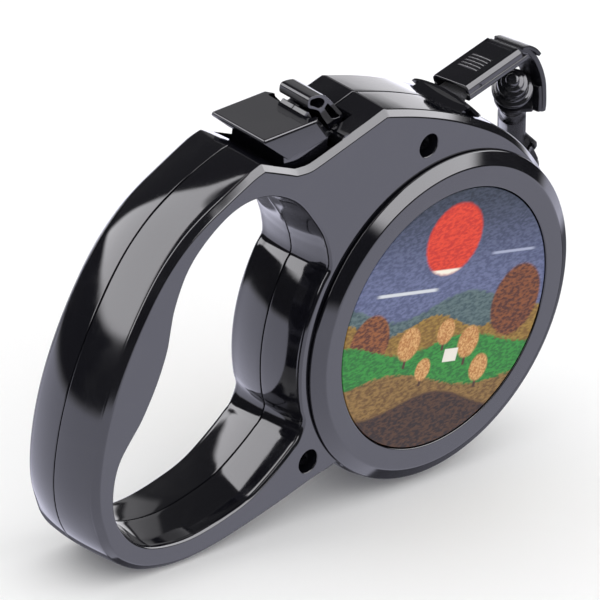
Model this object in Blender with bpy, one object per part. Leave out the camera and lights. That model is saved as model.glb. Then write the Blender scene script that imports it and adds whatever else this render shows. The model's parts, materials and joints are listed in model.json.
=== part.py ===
"""Retractable tape leash: a two-shell casing with a hand loop, a sprung tape drum, a brake button with
its pawl and lock lever, and a tape end with a swivelling snap hook.

Frame: origin at the centre of the right printed disc's face, +X towards the tape outlet, +Z up, +Y to the left
along the drum's axis. The constants and the solids are laid out about the mid-plane between the shells, and one
root empty moves them all into that frame. Constants are in millimetres; MM turns them into Blender's metres.
"""

import math

import bmesh
import bpy
import numpy as np
from mathutils import Matrix, Vector

MM = 0.001
GAP = 0.3

# Casing
HALF_WIDTH = 14.0
CHAMFER = 1.8
SEAM_HALF_GAP = 0.15
WALL = 2.2
CAVITY_HALF_WIDTH = HALF_WIDTH - WALL
REEL_RADIUS = 50.6
HOLE_LEAN = 2.6
CROWN = 2.5
FRONT_ARC_START = math.radians(-130)
FRONT_ARC_END = math.radians(36)

# Outer side of the casing, from the top front round over the button dip and the hand loop to the valley
TOP_SLOPE = [(40.94, 29.74), (35.6, 37.2), (28.6, 44.8), (19.3, 52.3), (6.6, 59.3), (-6.0, 64.8), (-18.4, 69.1), (-30.0, 72.3)]
BUTTON_DIP = [(-53.7, 64.6), (-58.5, 63.3), (-63.4, 63.4)]
HAND_LOOP = [
    (-76.8, 69.2), (-82.0, 68.2), (-94.3, 63.0), (-105.9, 55.7), (-115.2, 45.8), (-122.4, 33.4),
    (-128.0, 20.0), (-131.8, 6.2), (-133.5, -7.9), (-132.8, -22.2), (-128.6, -34.4), (-120.5, -43.7),
    (-108.0, -49.9), (-92.0, -52.3), (-75.0, -50.2), (-55.0, -45.0), (-43.0, -41.3), (-36.0, -39.6),
]

# Hand hole at the side face, from the ledge at the top of the drum side round past the nook and down
HOLE_ARC_RADIUS = 52.4
HOLE_ARC_START = math.radians(149)
HOLE_ARC_END = math.radians(203)
HOLE_LOWER = [
    (-49.8, -25.8), (-55.0, -30.8), (-65.0, -38.3), (-75.0, -42.3), (-90.0, -45.3), (-105.0, -43.8),
    (-115.0, -38.3), (-121.5, -30.0), (-123.6, -20.0), (-122.0, -10.5), (-115.8, -0.8), (-111.2, 9.5),
    (-108.4, 20.0), (-107.6, 31.0), (-104.2, 42.5), (-98.0, 50.6), (-89.0, 57.0), (-80.0, 59.2),
    (-70.8, 57.7), (-61.5, 52.8), (-54.5, 45.7), (-49.0, 38.6), (-46.2, 32.6),
]

# Round covers
COVER_BASE_RADIUS = 50.0
COVER_FLAT_RADIUS = 46.2
COVER_SEAT_RADIUS = 40.5
COVER_BORE_RADIUS = 36.0
COVER_FACE_Y = 17.2
COVER_STEP_Y = 15.0
PRINT_RADIUS = 40.1
PRINT_Y = (15.5, 16.5)
SEAT_Y = 15.2

# Drum
TAPE_WIDTH = 12.0
TAPE_THICKNESS = 0.9
HUB_INNER_RADIUS = 20.0
HUB_OUTER_RADIUS = 21.6
COIL_INNER_RADIUS = 21.9
COIL_RADIUS = 42.0
FLANGE_RADIUS = 46.0
FLANGE_INNER_Y = 7.9
FLANGE_OUTER_Y = 9.1
RATCHET_OUTER_Y = 10.2
TOOTH_COUNT = 24
TOOTH_ROOT_RADIUS = 45.0
TOOTH_TIP_RADIUS = 48.0
TOOTH_HALF_ANGLE = math.radians(3.0)
TOOTH_PHASE = math.radians(122.5)
AXLE_RADIUS = 4.0
SPRING_TURNS = 5.5
SPRING_INNER_RADIUS = 5.4
SPRING_OUTER_RADIUS = 18.6
SPRING_THICKNESS = 0.8
SPRING_HALF_WIDTH = 7.2

# Screws: x, z of the two deep counterbored screws in the right shell
CASE_SCREWS = {"top_case_screw": (-11.4, 56.2), "rear_case_screw": (-45.5, -33.5)}
BOSS_RADIUS = 5.0
COUNTERBORE_RADIUS = 3.5
COUNTERBORE_FLOOR_Y = 4.5
SCREW_RADIUS = 1.5
SCREW_HEAD_RADIUS = 3.1
SCREW_END_Y = 8.0

# Brake button, pawl and lock lever
BUTTON_TOP_HALF_WIDTH = 10.5
BUTTON_SKIRT_HALF_WIDTH = 10.4
BUTTON_FLARE_HALF_WIDTH = 12.0
POCKET_HALF_WIDTH = 12.4
BUTTON_SKIRT = [(-66.3, 68.0), (-66.3, 62.4), (-60.5, 58.6), (-49.0, 58.6), (-49.0, 68.0)]
BUTTON_POCKET = [(-72.4, 80.0), (-72.4, 60.6), (-66.6, 58.4), (-60.0, 54.4), (-45.3, 54.4), (-45.3, 80.0)]
NOTCH_HALF_WIDTH = 8.4
PAWL_Y = (-10.9, -8.4)
LEVER_HALF_WIDTH = 5.7
LEVER_SLOT_HALF_WIDTH = 7.0
LEVER_PIVOT = (-41.0, 66.2)
LEVER_PIN_RADIUS = 1.2
BRAKE_SPRING_X = -53.6
BRAKE_SPRING_Z = (51.4, 58.2)

# Tape outlet and tape end: a tilted line through the outlet, and a block rolled about that line
TAPE_PITCH = math.radians(16.65)
BLOCK_ROLL = math.radians(10.0)
OUTLET = (8.7, 59.4)
BLOCK_ORIGIN = (10.4, 61.8)
BLOCK_LENGTH = 23.0
BLOCK_HALF_WIDTH = 7.4
BLOCK_HALF_HEIGHT = 2.8
BLOCK_WALL = 1.2
BLOCK_FLOOR = 0.9
BLOCK_TAPE_HEIGHT = -1.15
BLOCK_TAPE_END = 12.0
CLAMP_RIVET = (3.6, 0.5)
BLOCK_BEVEL = 1.1
NOZZLE_HALF_WIDTH = 13.3
NOZZLE_HALF_HEIGHT = 3.0
STIRRUP_PIN = (20.3, 0.0)
STIRRUP_BARREL_RADIUS = 2.3
STIRRUP_HALF_WIDTH = 5.5
STIRRUP_THICKNESS = 2.8
BALL_CENTRE = (20.5, 0.0, -11.4)
BALL_RADIUS = 5.4
NECK_RADIUS = 3.4
SNAP_DIRECTION = (0.534, 0.435, -0.725)
PLATE_DEPTH = (7.0, 9.2)
BARREL_DEPTH = (20.0, 42.0)
BARREL_RADIUS = 4.0
CLAW_CENTRE_DEPTH = 55.0
CLAW_RADIUS = 6.8
CLAW_WIRE_RADIUS = 2.2
GATE_PIVOT = (4.6, 45.6)


# ---------------------------------------------------------------- materials and basic solids


def material(name, colour, roughness, metallic=0.0):
    found = bpy.data.materials.get(name)
    if found:
        return found
    made = bpy.data.materials.new(name)
    made.use_nodes = True
    shader = made.node_tree.nodes["Principled BSDF"]
    shader.inputs["Base Color"].default_value = (*colour, 1.0)
    shader.inputs["Roughness"].default_value = roughness
    shader.inputs["Metallic"].default_value = metallic
    return made


def gloss_black():
    return material("gloss_black_plastic", (0.012, 0.012, 0.016), 0.12)


def satin_black():
    return material("satin_black_plastic", (0.02, 0.02, 0.024), 0.32)


def inner_plastic():
    return material("drum_plastic", (0.55, 0.55, 0.52), 0.45)


def steel():
    return material("steel", (0.62, 0.62, 0.63), 0.3, 1.0)


def webbing():
    return material("tape_webbing", (0.02, 0.02, 0.025), 0.85)


def print_sheet():
    return material("printed_disc", (0.25, 0.28, 0.3), 0.25)


def finish_mesh(name, bm, look, smooth_degrees=None):
    bmesh.ops.remove_doubles(bm, verts=bm.verts, dist=1e-6)
    bmesh.ops.recalc_face_normals(bm, faces=bm.faces)
    mesh = bpy.data.meshes.new(name)
    bm.to_mesh(mesh)
    bm.free()
    if smooth_degrees is not None:
        mesh.shade_smooth()
        mesh.set_sharp_from_angle(angle=math.radians(smooth_degrees))
    mesh.materials.append(look)
    obj = bpy.data.objects.new(name, mesh)
    bpy.context.scene.collection.objects.link(obj)
    return obj


def loft(name, rings, look, smooth_degrees=None):
    """A closed solid through rings of equally many points (x, y, z), with a flat cap on each end ring."""
    bm = bmesh.new()
    layers = [[bm.verts.new(Vector(point) * MM) for point in ring] for ring in rings]
    count = len(layers[0])
    for lower, upper in zip(layers, layers[1:]):
        for i in range(count):
            j = (i + 1) % count
            bm.faces.new((lower[i], lower[j], upper[j], upper[i]))
    bm.faces.new(layers[0])
    bm.faces.new(layers[-1])
    return finish_mesh(name, bm, look, smooth_degrees)


def side_prism(name, outline, y0, y1, look, smooth_degrees=None):
    """An outline in the XZ plane, extruded along Y."""
    rings = [[(x, y, z) for x, z in outline] for y in (y0, y1)]
    return loft(name, rings, look, smooth_degrees)


def box(name, low, high, look):
    outline = [(low[0], low[2]), (high[0], low[2]), (high[0], high[2]), (low[0], high[2])]
    return side_prism(name, outline, low[1], high[1], look)


def turned(name, profile, look, steps=64, smooth_degrees=30):
    """A closed profile of (radius, height) turned about the Z axis; every radius is above zero."""
    rings = []
    for k in range(steps):
        angle = 2 * math.pi * k / steps
        rings.append([(r * math.cos(angle), r * math.sin(angle), h) for r, h in profile])
    bm = bmesh.new()
    layers = [[bm.verts.new(Vector(point) * MM) for point in ring] for ring in rings]
    count = len(profile)
    for k in range(steps):
        here, there = layers[k], layers[(k + 1) % steps]
        for i in range(count):
            j = (i + 1) % count
            bm.faces.new((here[i], here[j], there[j], there[i]))
    return finish_mesh(name, bm, look, smooth_degrees)


def turned_solid(name, profile, look, steps=32, smooth_degrees=30):
    """A turned solid with no bore: rings of the profile from bottom to top, capped flat at both ends."""
    rings = []
    for r, h in profile:
        angles = [2 * math.pi * k / steps for k in range(steps)]
        rings.append([(r * math.cos(a), r * math.sin(a), h) for a in angles])
    return loft(name, rings, look, smooth_degrees)


def turn_onto_y(obj, x=0.0, z=0.0):
    """Stands a solid made about Z onto the Y axis, through (x, z): its height becomes +Y."""
    obj.rotation_euler = (-math.pi / 2, 0, 0)
    obj.location = (x * MM, 0, z * MM)
    return obj


def cross_pin(name, x, z, radius, y0, y1, look, steps=20):
    return turn_onto_y(turned_solid(name, [(radius, y0), (radius, y1)], look, steps), x, z)


def as_cutter(obj):
    obj.hide_render = True
    obj.display_type = "WIRE"
    return obj


def boolean(target, other, operation="DIFFERENCE"):
    modifier = target.modifiers.new(other.name, "BOOLEAN")
    modifier.operation = operation
    modifier.solver = "EXACT"
    modifier.object = as_cutter(other)
    return target


def put_in(frame, *objects):
    for obj in objects:
        obj.parent = frame


def frame_empty(name, origin, x_axis, y_axis, z_axis):
    empty = bpy.data.objects.new(name, None)
    bpy.context.scene.collection.objects.link(empty)
    turn = Matrix((x_axis, y_axis, z_axis)).transposed()
    empty.location = Vector(origin) * MM
    empty.rotation_euler = turn.to_euler()
    return empty


# ---------------------------------------------------------------- outlines


def arc(radius, start, end, count):
    angles = np.linspace(start, end, count)
    return [(radius * math.cos(a), radius * math.sin(a)) for a in angles]


def smooth_run(points, per_span):
    """A Catmull-Rom curve through the points, with per_span steps between neighbours."""
    p = [Vector(point) for point in points]
    p = [2 * p[0] - p[1]] + p + [2 * p[-1] - p[-2]]
    out = []
    for a, b, c, d in zip(p, p[1:], p[2:], p[3:]):
        for k in range(per_span):
            t = k / per_span
            point = b * 2 + (c - a) * t + (a * 2 - b * 5 + c * 4 - d) * t * t
            point = (point + (b * 3 - a - c * 3 + d) * t * t * t) / 2
            out.append(tuple(point))
    out.append(tuple(points[-1]))
    return out


def offset(outline, distance):
    """A closed counterclockwise outline moved outwards by distance, or inwards if it is negative."""
    p = np.array(outline)
    along = np.roll(p, -1, 0) - p
    along /= np.linalg.norm(along, axis=1)[:, None]
    normal = np.stack([along[:, 1], -along[:, 0]], 1)
    mean = normal + np.roll(normal, 1, 0)
    mean /= np.linalg.norm(mean, axis=1)[:, None]
    stretch = np.clip((mean * normal).sum(1), 0.6, 1.0)
    return [tuple(point) for point in p + mean * distance / stretch[:, None]]


def casing_outline():
    reel = arc(REEL_RADIUS, FRONT_ARC_START, FRONT_ARC_END, 36)
    top = smooth_run(TOP_SLOPE, 2)
    dip = smooth_run(BUTTON_DIP, 1)
    loop = smooth_run(HAND_LOOP, 2)
    return reel[:-1] + top + dip + loop


def hole_outline():
    drum_side = arc(HOLE_ARC_RADIUS, HOLE_ARC_START, HOLE_ARC_END, 12)
    return drum_side + smooth_run(HOLE_LOWER, 2)


# ---------------------------------------------------------------- casing


def side_rings(outline_and_y, side):
    return [[(x, side * y, z) for x, z in outline] for outline, y in outline_and_y]


def hole_cutter(name, side):
    face = counterclockwise(hole_outline())
    middle = offset(face, -HOLE_LEAN)
    inner = offset(face, -0.9)
    stations = [(middle, -1.0), (middle, SEAM_HALF_GAP), (inner, HALF_WIDTH - CHAMFER),
                (face, HALF_WIDTH - 0.6), (face, HALF_WIDTH + 2)]
    return loft(name, side_rings(stations, side), gloss_black())


def counterclockwise(outline):
    p = np.array(outline)
    q = np.roll(p, -1, 0)
    area = (p[:, 0] * q[:, 1] - p[:, 1] * q[:, 0]).sum()
    return list(outline) if area > 0 else list(outline)[::-1]


def cavity_cutter(name, side):
    """The hollow inside a shell: the casing's outline less its wall, with the hand hole's wall left standing."""
    outer = offset(drawn_in(counterclockwise(casing_outline()), 1.0), -WALL)
    hollow = loft(name, side_rings([(outer, -2.0), (outer, CAVITY_HALF_WIDTH)], side), gloss_black())
    island = offset(counterclockwise(hole_outline()), WALL - 0.6)
    keep = loft(name + "_keep", side_rings([(island, -3.0), (island, HALF_WIDTH)], side), gloss_black())
    return boolean(hollow, keep)


def drawn_in(outline, share):
    """The outline drawn in by a share of the crown: in full round the hand loop, hardly at all elsewhere."""
    p = np.array(outline)
    full = np.array(offset(outline, -CROWN * share))
    rearward = np.clip((-p[:, 0] - 70.0) / 22.0, 0.05, 1.0)
    upward = np.clip((p[:, 1] + 50.0) / 16.0, 0.0, 1.0)
    return [tuple(point) for point in p + (full - p) * (rearward * upward)[:, None]]


def shell(name, side):
    outline = counterclockwise(casing_outline())
    edge = HALF_WIDTH - CHAMFER
    edge_outline = drawn_in(outline, 1.0)
    stations = [(outline, SEAM_HALF_GAP), (drawn_in(outline, 0.3), edge * 0.55), (edge_outline, edge),
                (offset(edge_outline, -CHAMFER), HALF_WIDTH)]
    body = loft(name, side_rings(stations, side), gloss_black(), 40)
    boolean(body, cavity_cutter(name + "_cavity", side))
    add_supports(body, side)
    boolean(body, hole_cutter(name + "_hand_hole", side))
    cut_openings(body, side)
    return body


def add_supports(body, side):
    """Screw bosses, the shelf under the brake spring and the blocks that hold the lever's pin."""
    name = body.name
    wall_y = HALF_WIDTH - 1.0
    for screw, (x, z) in CASE_SCREWS.items():
        boss = cross_pin(f"{name}_{screw}_boss", x, z, BOSS_RADIUS, *span(side, SEAM_HALF_GAP, wall_y), gloss_black(), 24)
        boolean(body, boss, "UNION")
    shelf_low = (BRAKE_SPRING_X - 6.0, BRAKE_SPRING_Z[0] - 4.4)
    shelf_high = (BRAKE_SPRING_X + 4.2, BRAKE_SPRING_Z[0] - GAP)
    y0, y1 = span(side, SEAM_HALF_GAP, CAVITY_HALF_WIDTH + 0.5)
    boolean(body, box(name + "_shelf", (shelf_low[0], y0, shelf_low[1]), (shelf_high[0], y1, shelf_high[1]),
                      gloss_black()), "UNION")
    y0, y1 = span(side, LEVER_SLOT_HALF_WIDTH, CAVITY_HALF_WIDTH + 0.5)
    x, z = LEVER_PIVOT
    boolean(body, box(name + "_pin_block", (x - 3.6, y0, z - 4.6), (x + 4.0, y1, z + 1.8), gloss_black()), "UNION")


def span(side, near, far):
    """The same stretch of Y on either side of the mid-plane, lower value first."""
    return tuple(sorted((side * near, side * far)))


def cut_openings(body, side):
    name = body.name
    boolean(body, side_prism(name + "_button_pocket", BUTTON_POCKET, -POCKET_HALF_WIDTH, POCKET_HALF_WIDTH,
                             gloss_black()))
    slot = box(name + "_lever_slot", (-46.0, -LEVER_SLOT_HALF_WIDTH, 60.0), (-36.8, LEVER_SLOT_HALF_WIDTH, 80.0),
               gloss_black())
    boolean(body, slot)
    pin_bore = cross_pin(name + "_pin_bore", *LEVER_PIVOT, LEVER_PIN_RADIUS + GAP, *span(side, -1, 10.6), gloss_black())
    boolean(body, pin_bore)
    for screw, (x, z) in CASE_SCREWS.items():
        if side < 0:
            bore = turned_solid(f"{name}_{screw}_bore", screw_clearance(), gloss_black(), 24)
            boolean(body, turn_onto_y(bore, x, z))
        else:
            boolean(body, cross_pin(f"{name}_{screw}_bore", x, z, SCREW_RADIUS + GAP, -1, SCREW_END_Y + 1,
                                    gloss_black()))
    if side < 0:
        boolean(body, turn_onto_y(turned_solid(name + "_axle_bore", axle_screw_clearance(), gloss_black(), 24)))
    for cutter in outlet_clearance(name):
        boolean(body, cutter)


def screw_clearance():
    shank = SCREW_RADIUS + GAP
    return [(COUNTERBORE_RADIUS, -HALF_WIDTH - 1), (COUNTERBORE_RADIUS, -COUNTERBORE_FLOOR_Y),
            (shank, -COUNTERBORE_FLOOR_Y), (shank, 1)]


def axle_screw_clearance():
    shank = SCREW_RADIUS + GAP
    return [(COUNTERBORE_RADIUS, -HALF_WIDTH - 1), (COUNTERBORE_RADIUS, -13.0), (shank, -13.0), (shank, -11.0)]


def case_screw(name, x, z):
    head_y = -COUNTERBORE_FLOOR_Y - GAP
    profile = [(SCREW_HEAD_RADIUS - 0.5, head_y - 1.8), (SCREW_HEAD_RADIUS, head_y - 1.2), (SCREW_HEAD_RADIUS, head_y),
               (SCREW_RADIUS, head_y), (SCREW_RADIUS, SCREW_END_Y - 1), (0.5, SCREW_END_Y)]
    screw = turn_onto_y(turned_solid(name, profile, steel(), 20), x, z)
    return boolean(screw, turn_onto_y(cross_recess(name + "_recess", head_y - 1.8), x, z))


def cross_recess(name, face_y):
    """A cross-shaped driver recess, open at a screw head's face."""
    outline = []
    for k in range(4):
        turn = Matrix.Rotation(k * math.pi / 2, 2)
        outline += [tuple(turn @ Vector(p)) for p in ((1.7, -0.35), (1.7, 0.35), (0.35, 0.35))]
    rings = [[(x, y, h) for x, y in outline] for h in (face_y - 0.5, face_y + 1.0)]
    return loft(name, rings, steel())


def axle_screw():
    profile = [(SCREW_HEAD_RADIUS, -14.6), (SCREW_HEAD_RADIUS, -13.3), (SCREW_RADIUS, -13.3), (SCREW_RADIUS, -5.5),
               (0.5, -4.5)]
    screw = turn_onto_y(turned_solid("axle_screw", profile, steel(), 20))
    return boolean(screw, turn_onto_y(cross_recess("axle_screw_recess", -14.6)))


def cover_ring(name, side):
    base = HALF_WIDTH + GAP
    profile = [(COVER_BORE_RADIUS, base), (COVER_BASE_RADIUS, base), (COVER_BASE_RADIUS, COVER_STEP_Y),
               (COVER_FLAT_RADIUS, COVER_FACE_Y), (COVER_SEAT_RADIUS, COVER_FACE_Y), (COVER_SEAT_RADIUS, SEAT_Y),
               (COVER_BORE_RADIUS, SEAT_Y)]
    ring = turned(name, [(r, side * y) for r, y in profile], gloss_black(), 72, 30)
    return turn_onto_y(ring)


def print_disc(name, side):
    profile = [(PRINT_RADIUS, side * PRINT_Y[0]), (PRINT_RADIUS, side * (PRINT_Y[1] - 0.2)),
               (PRINT_RADIUS - 0.3, side * PRINT_Y[1])]
    return turn_onto_y(turned_solid(name, profile, print_sheet(), 72))


# ---------------------------------------------------------------- drum


def ratchet_outline():
    """Saw teeth: the steep side faces clockwise, the way the drum turns as tape is pulled out."""
    outline = []
    for k in range(TOOTH_COUNT):
        middle = TOOTH_PHASE + 2 * math.pi * k / TOOTH_COUNT
        steep, back = middle - TOOTH_HALF_ANGLE, middle + TOOTH_HALF_ANGLE
        rest = middle + math.pi / TOOTH_COUNT * 1.5
        for radius, angle in ((TOOTH_ROOT_RADIUS, steep), (TOOTH_TIP_RADIUS, steep),
                              (TOOTH_TIP_RADIUS, middle), (TOOTH_ROOT_RADIUS, back), (TOOTH_ROOT_RADIUS, rest)):
            outline.append((radius * math.cos(angle), radius * math.sin(angle)))
    return outline


def tape_drum():
    drum = side_prism("tape_drum", ratchet_outline(), -RATCHET_OUTER_Y, -FLANGE_INNER_Y, inner_plastic())
    hub_profile = [(HUB_INNER_RADIUS, -FLANGE_INNER_Y - 0.5), (HUB_OUTER_RADIUS, -FLANGE_INNER_Y - 0.5),
                   (HUB_OUTER_RADIUS, FLANGE_OUTER_Y), (HUB_INNER_RADIUS, FLANGE_OUTER_Y)]
    hub = turn_onto_y(turned("tape_drum_hub", hub_profile, inner_plastic(), 48))
    boolean(drum, hub, "UNION")
    boolean(drum, cross_pin("tape_drum_bore", 0, 0, AXLE_RADIUS + GAP, -20, 0, inner_plastic(), 32))
    return drum


def drum_flange():
    inner = HUB_OUTER_RADIUS + GAP
    profile = [(inner, FLANGE_INNER_Y), (FLANGE_RADIUS, FLANGE_INNER_Y), (FLANGE_RADIUS, FLANGE_OUTER_Y),
               (inner, FLANGE_OUTER_Y)]
    return turn_onto_y(turned("drum_flange", profile, inner_plastic(), 64))


def spring_cover():
    outer = HUB_INNER_RADIUS - GAP
    inner = AXLE_RADIUS + GAP
    profile = [(inner, FLANGE_INNER_Y), (outer, FLANGE_INNER_Y), (outer, FLANGE_OUTER_Y), (inner, FLANGE_OUTER_Y)]
    return turn_onto_y(turned("spring_cover", profile, inner_plastic(), 40))


def wound_tape():
    half = TAPE_WIDTH / 2
    profile = [(COIL_INNER_RADIUS, -half), (COIL_RADIUS, -half), (COIL_RADIUS, half), (COIL_INNER_RADIUS, half)]
    return turn_onto_y(turned("wound_tape", profile, webbing(), 64))


def power_spring():
    """A flat strip wound as an Archimedean spiral, from the axle out to the drum's hub."""
    steps = int(SPRING_TURNS * 20)
    rings = []
    for k in range(steps + 1):
        angle = 2 * math.pi * SPRING_TURNS * k / steps
        middle = SPRING_INNER_RADIUS + (SPRING_OUTER_RADIUS - SPRING_INNER_RADIUS) * k / steps
        inner, outer = middle - SPRING_THICKNESS / 2, middle + SPRING_THICKNESS / 2
        c, s = math.cos(angle), math.sin(angle)
        rings.append([(r * c, y, r * s) for r, y in ((inner, -SPRING_HALF_WIDTH), (outer, -SPRING_HALF_WIDTH),
                                                     (outer, SPRING_HALF_WIDTH), (inner, SPRING_HALF_WIDTH))])
    return loft("power_spring", rings, steel(), 40)


def drum_axle():
    bore = SCREW_RADIUS + GAP
    profile = [(AXLE_RADIUS, -11.5), (AXLE_RADIUS, 11.5)]
    axle = turn_onto_y(turned_solid("drum_axle", profile, steel(), 32))
    return boolean(axle, cross_pin("drum_axle_bore", 0, 0, bore, -13, -3.5, steel()))


# ---------------------------------------------------------------- brake and lock


def brake_button():
    """A wedge with flared sides and an undercut lip, on a skirt that slides in the casing's pocket."""
    rings = []
    for half, rear, front in ((BUTTON_FLARE_HALF_WIDTH, (-67.3, 66.3), (-47.5, 68.9)),
                              (BUTTON_TOP_HALF_WIDTH, (-75.2, 74.2), (-54.5, 75.0))):
        rings.append([(rear[0], -half, rear[1]), (front[0], -half, front[1]),
                      (front[0], half, front[1]), (rear[0], half, rear[1])])
    button = loft("brake_button", rings, gloss_black())
    half = BUTTON_SKIRT_HALF_WIDTH
    boolean(button, side_prism("button_skirt", BUTTON_SKIRT, -half, half, gloss_black()), "UNION")
    notch = [(-54.2, 80.0), (-54.2, 73.0), (-46.0, 65.7), (-40.0, 80.0)]
    boolean(button, side_prism("button_notch", notch, -NOTCH_HALF_WIDTH, NOTCH_HALF_WIDTH, gloss_black()))
    return button


def brake_pawl():
    """An arm from the button's skirt down to a nose just clear of the ratchet's teeth."""
    nose = [(48.9 * math.cos(math.radians(a)), 48.9 * math.sin(math.radians(a))) for a in (129.7, 126.3)]
    outline = [(-48.7, 65.0), (-48.7, 58.0), (-36.5, 46.5), (-32.2, 42.0), *nose, (-28.6, 47.5), (-34.5, 57.5),
               (-43.5, 60.0)]
    return side_prism("brake_pawl", outline, *PAWL_Y, satin_black())


def coil_spring(name, radius, wire, low, high, turns, look, around=10, sides=6):
    """A round-wire compression spring about Z."""
    steps = int(turns * around)
    rings = []
    for k in range(steps + 1):
        angle = 2 * math.pi * turns * k / steps
        height = low + wire + (high - low - 2 * wire) * k / steps
        ring = []
        for i in range(sides):
            turn = 2 * math.pi * i / sides
            r = radius + wire * math.cos(turn)
            ring.append((r * math.cos(angle), r * math.sin(angle), height + wire * math.sin(turn)))
        rings.append(ring)
    return loft(name, rings, look, 50)


def brake_spring():
    spring = coil_spring("brake_spring", 2.8, 0.4, *BRAKE_SPRING_Z, 4.5, steel())
    spring.location.x = BRAKE_SPRING_X * MM
    return spring


def lock_lever():
    """A hollow rounded bar on two diverging legs that meet at the pivot."""
    x, z = LEVER_PIVOT
    hub = [(x + 2.9 * math.cos(a), z + 2.9 * math.sin(a)) for a in np.radians(np.linspace(-150, 60, 12))]
    outline = hub + [(-40.0, 70.9), (-43.4, 73.9), (-46.0, 77.2), (-46.8, 79.0), (-48.2, 79.8), (-52.4, 79.5),
                     (-53.5, 78.7), (-53.6, 76.6), (-52.8, 75.8), (-50.4, 74.2), (-47.6, 71.8), (-45.2, 68.6)]
    lever = side_prism("lock_lever", outline, -LEVER_HALF_WIDTH, LEVER_HALF_WIDTH, satin_black())
    loop = [(-52.0, 77.6), (-49.4, 75.6), (-47.7, 77.0), (-48.6, 78.4), (-51.7, 78.2)]
    legs = [(-47.8, 74.2), (-43.6, 69.6), (-41.6, 70.4), (-46.2, 75.4)]
    for k, hollow in enumerate((loop, legs)):
        boolean(lever, side_prism(f"lock_lever_hollow_{k}", hollow, -LEVER_HALF_WIDTH - 1, LEVER_HALF_WIDTH + 1,
                                  satin_black()))
    boolean(lever, cross_pin("lock_lever_bore", x, z, LEVER_PIN_RADIUS + GAP, -8, 8, satin_black()))
    return lever


# ---------------------------------------------------------------- outlet and tape end


def tape_axes():
    """Unit vectors along the tape, across it and up from it: level across at the outlet, rolled at the block."""
    along = Vector((math.cos(TAPE_PITCH), 0, math.sin(TAPE_PITCH)))
    up = Vector((-math.sin(TAPE_PITCH), 0, math.cos(TAPE_PITCH)))
    across = Vector((0, 1, 0))
    rolled_across = across * math.cos(BLOCK_ROLL) - up * math.sin(BLOCK_ROLL)
    rolled_up = up * math.cos(BLOCK_ROLL) + across * math.sin(BLOCK_ROLL)
    return along, (across, up), (rolled_across, rolled_up)


def outlet_frame():
    along, (across, up), _ = tape_axes()
    return frame_empty("outlet_frame", (OUTLET[0], 0, OUTLET[1]), along, across, up)


def block_frame():
    along, _, (across, up) = tape_axes()
    return frame_empty("tape_end_frame", (BLOCK_ORIGIN[0], 0, BLOCK_ORIGIN[1]), along, across, up)


def lens_outline(half_width, half_height, count=12):
    """Two shallow curves that meet in a point on each side, as (across, up)."""
    across = np.linspace(half_width, -half_width, count + 1)
    top = [(a, half_height * (1 - (a / half_width) ** 2)) for a in across]
    return top[:-1] + [(-a, -h) for a, h in top[:-1]]


def lens_solid(name, half_width, half_height, x0, x1, look):
    rings = [[(x, a, h) for a, h in lens_outline(half_width, half_height)] for x in (x0, x1)]
    return loft(name, rings, look)


def outlet_clearance(owner):
    frame = bpy.data.objects["outlet_frame"]
    lens = lens_solid(owner + "_outlet_cut", NOZZLE_HALF_WIDTH + 1.2, NOZZLE_HALF_HEIGHT + GAP, -1.1, 9.0, satin_black())
    throat = box(owner + "_throat_cut", (-7.0, -9.6 - GAP, -1.7 - GAP), (0.5, 9.6 + GAP, 1.7 + GAP), satin_black())
    put_in(frame, lens, throat)
    return lens, throat


def tape_nozzle(frame):
    nozzle = lens_solid("tape_nozzle", NOZZLE_HALF_WIDTH, NOZZLE_HALF_HEIGHT, -0.8, 0.8, satin_black())
    sleeve = box("nozzle_sleeve", (-3.6, -9.6, -1.7), (0.0, 9.6, 1.7), satin_black())
    mouth = box("nozzle_mouth", (-6.0, -8.2, -0.9), (4.0, 8.2, 0.9), satin_black())
    put_in(frame, nozzle, sleeve, mouth)
    boolean(nozzle, sleeve, "UNION")
    return boolean(nozzle, mouth)


def guide_pin_centre():
    along, (_, up), _ = tape_axes()
    at = Vector((OUTLET[0], 0, OUTLET[1])) - along * 6.6 - up * (1.5 + TAPE_THICKNESS / 2 + GAP)
    return at.x, at.z


def tape_guide_pin():
    return cross_pin("tape_guide_pin", *guide_pin_centre(), 1.5, -11.5, 11.5, steel())


def tape_lead():
    """The straight stretch inside the casing, from the top of the coil to the guide pin."""
    along, (_, up), _ = tape_axes()
    end = Vector((OUTLET[0], 0, OUTLET[1])) - along * 7.4
    clear = COIL_RADIUS + GAP + TAPE_THICKNESS / 2
    reach = math.hypot(end.x, end.z)
    bearing = math.atan2(end.z, end.x) + math.acos(clear / reach)
    normal = Vector((math.cos(bearing), 0, math.sin(bearing)))
    half = normal * (TAPE_THICKNESS / 2)
    start = normal * clear
    low, high = -TAPE_WIDTH / 2, TAPE_WIDTH / 2
    rings = [[p - half + Vector((0, low, 0)), p + half + Vector((0, low, 0)),
              p + half + Vector((0, high, 0)), p - half + Vector((0, high, 0))] for p in (start, end)]
    return loft("tape_lead", rings, webbing())


def tape_run():
    """The stretch that leaves the casing: level behind the outlet, rolled with the block where it is clamped."""
    along, level, rolled = tape_axes()
    outlet = Vector((OUTLET[0], 0, OUTLET[1]))
    stations = [(outlet - along * 6.0, level), (outlet + along * 0.9, level),
                (block_point((-0.4, 0, BLOCK_TAPE_HEIGHT)), rolled),
                (block_point((BLOCK_TAPE_END, 0, BLOCK_TAPE_HEIGHT)), rolled)]
    rings = []
    for middle, (across, up) in stations:
        side, top = across * (TAPE_WIDTH / 2), up * (TAPE_THICKNESS / 2)
        rings.append([middle - side - top, middle + side - top, middle + side + top, middle - side + top])
    return loft("tape_run", rings, webbing())


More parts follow.
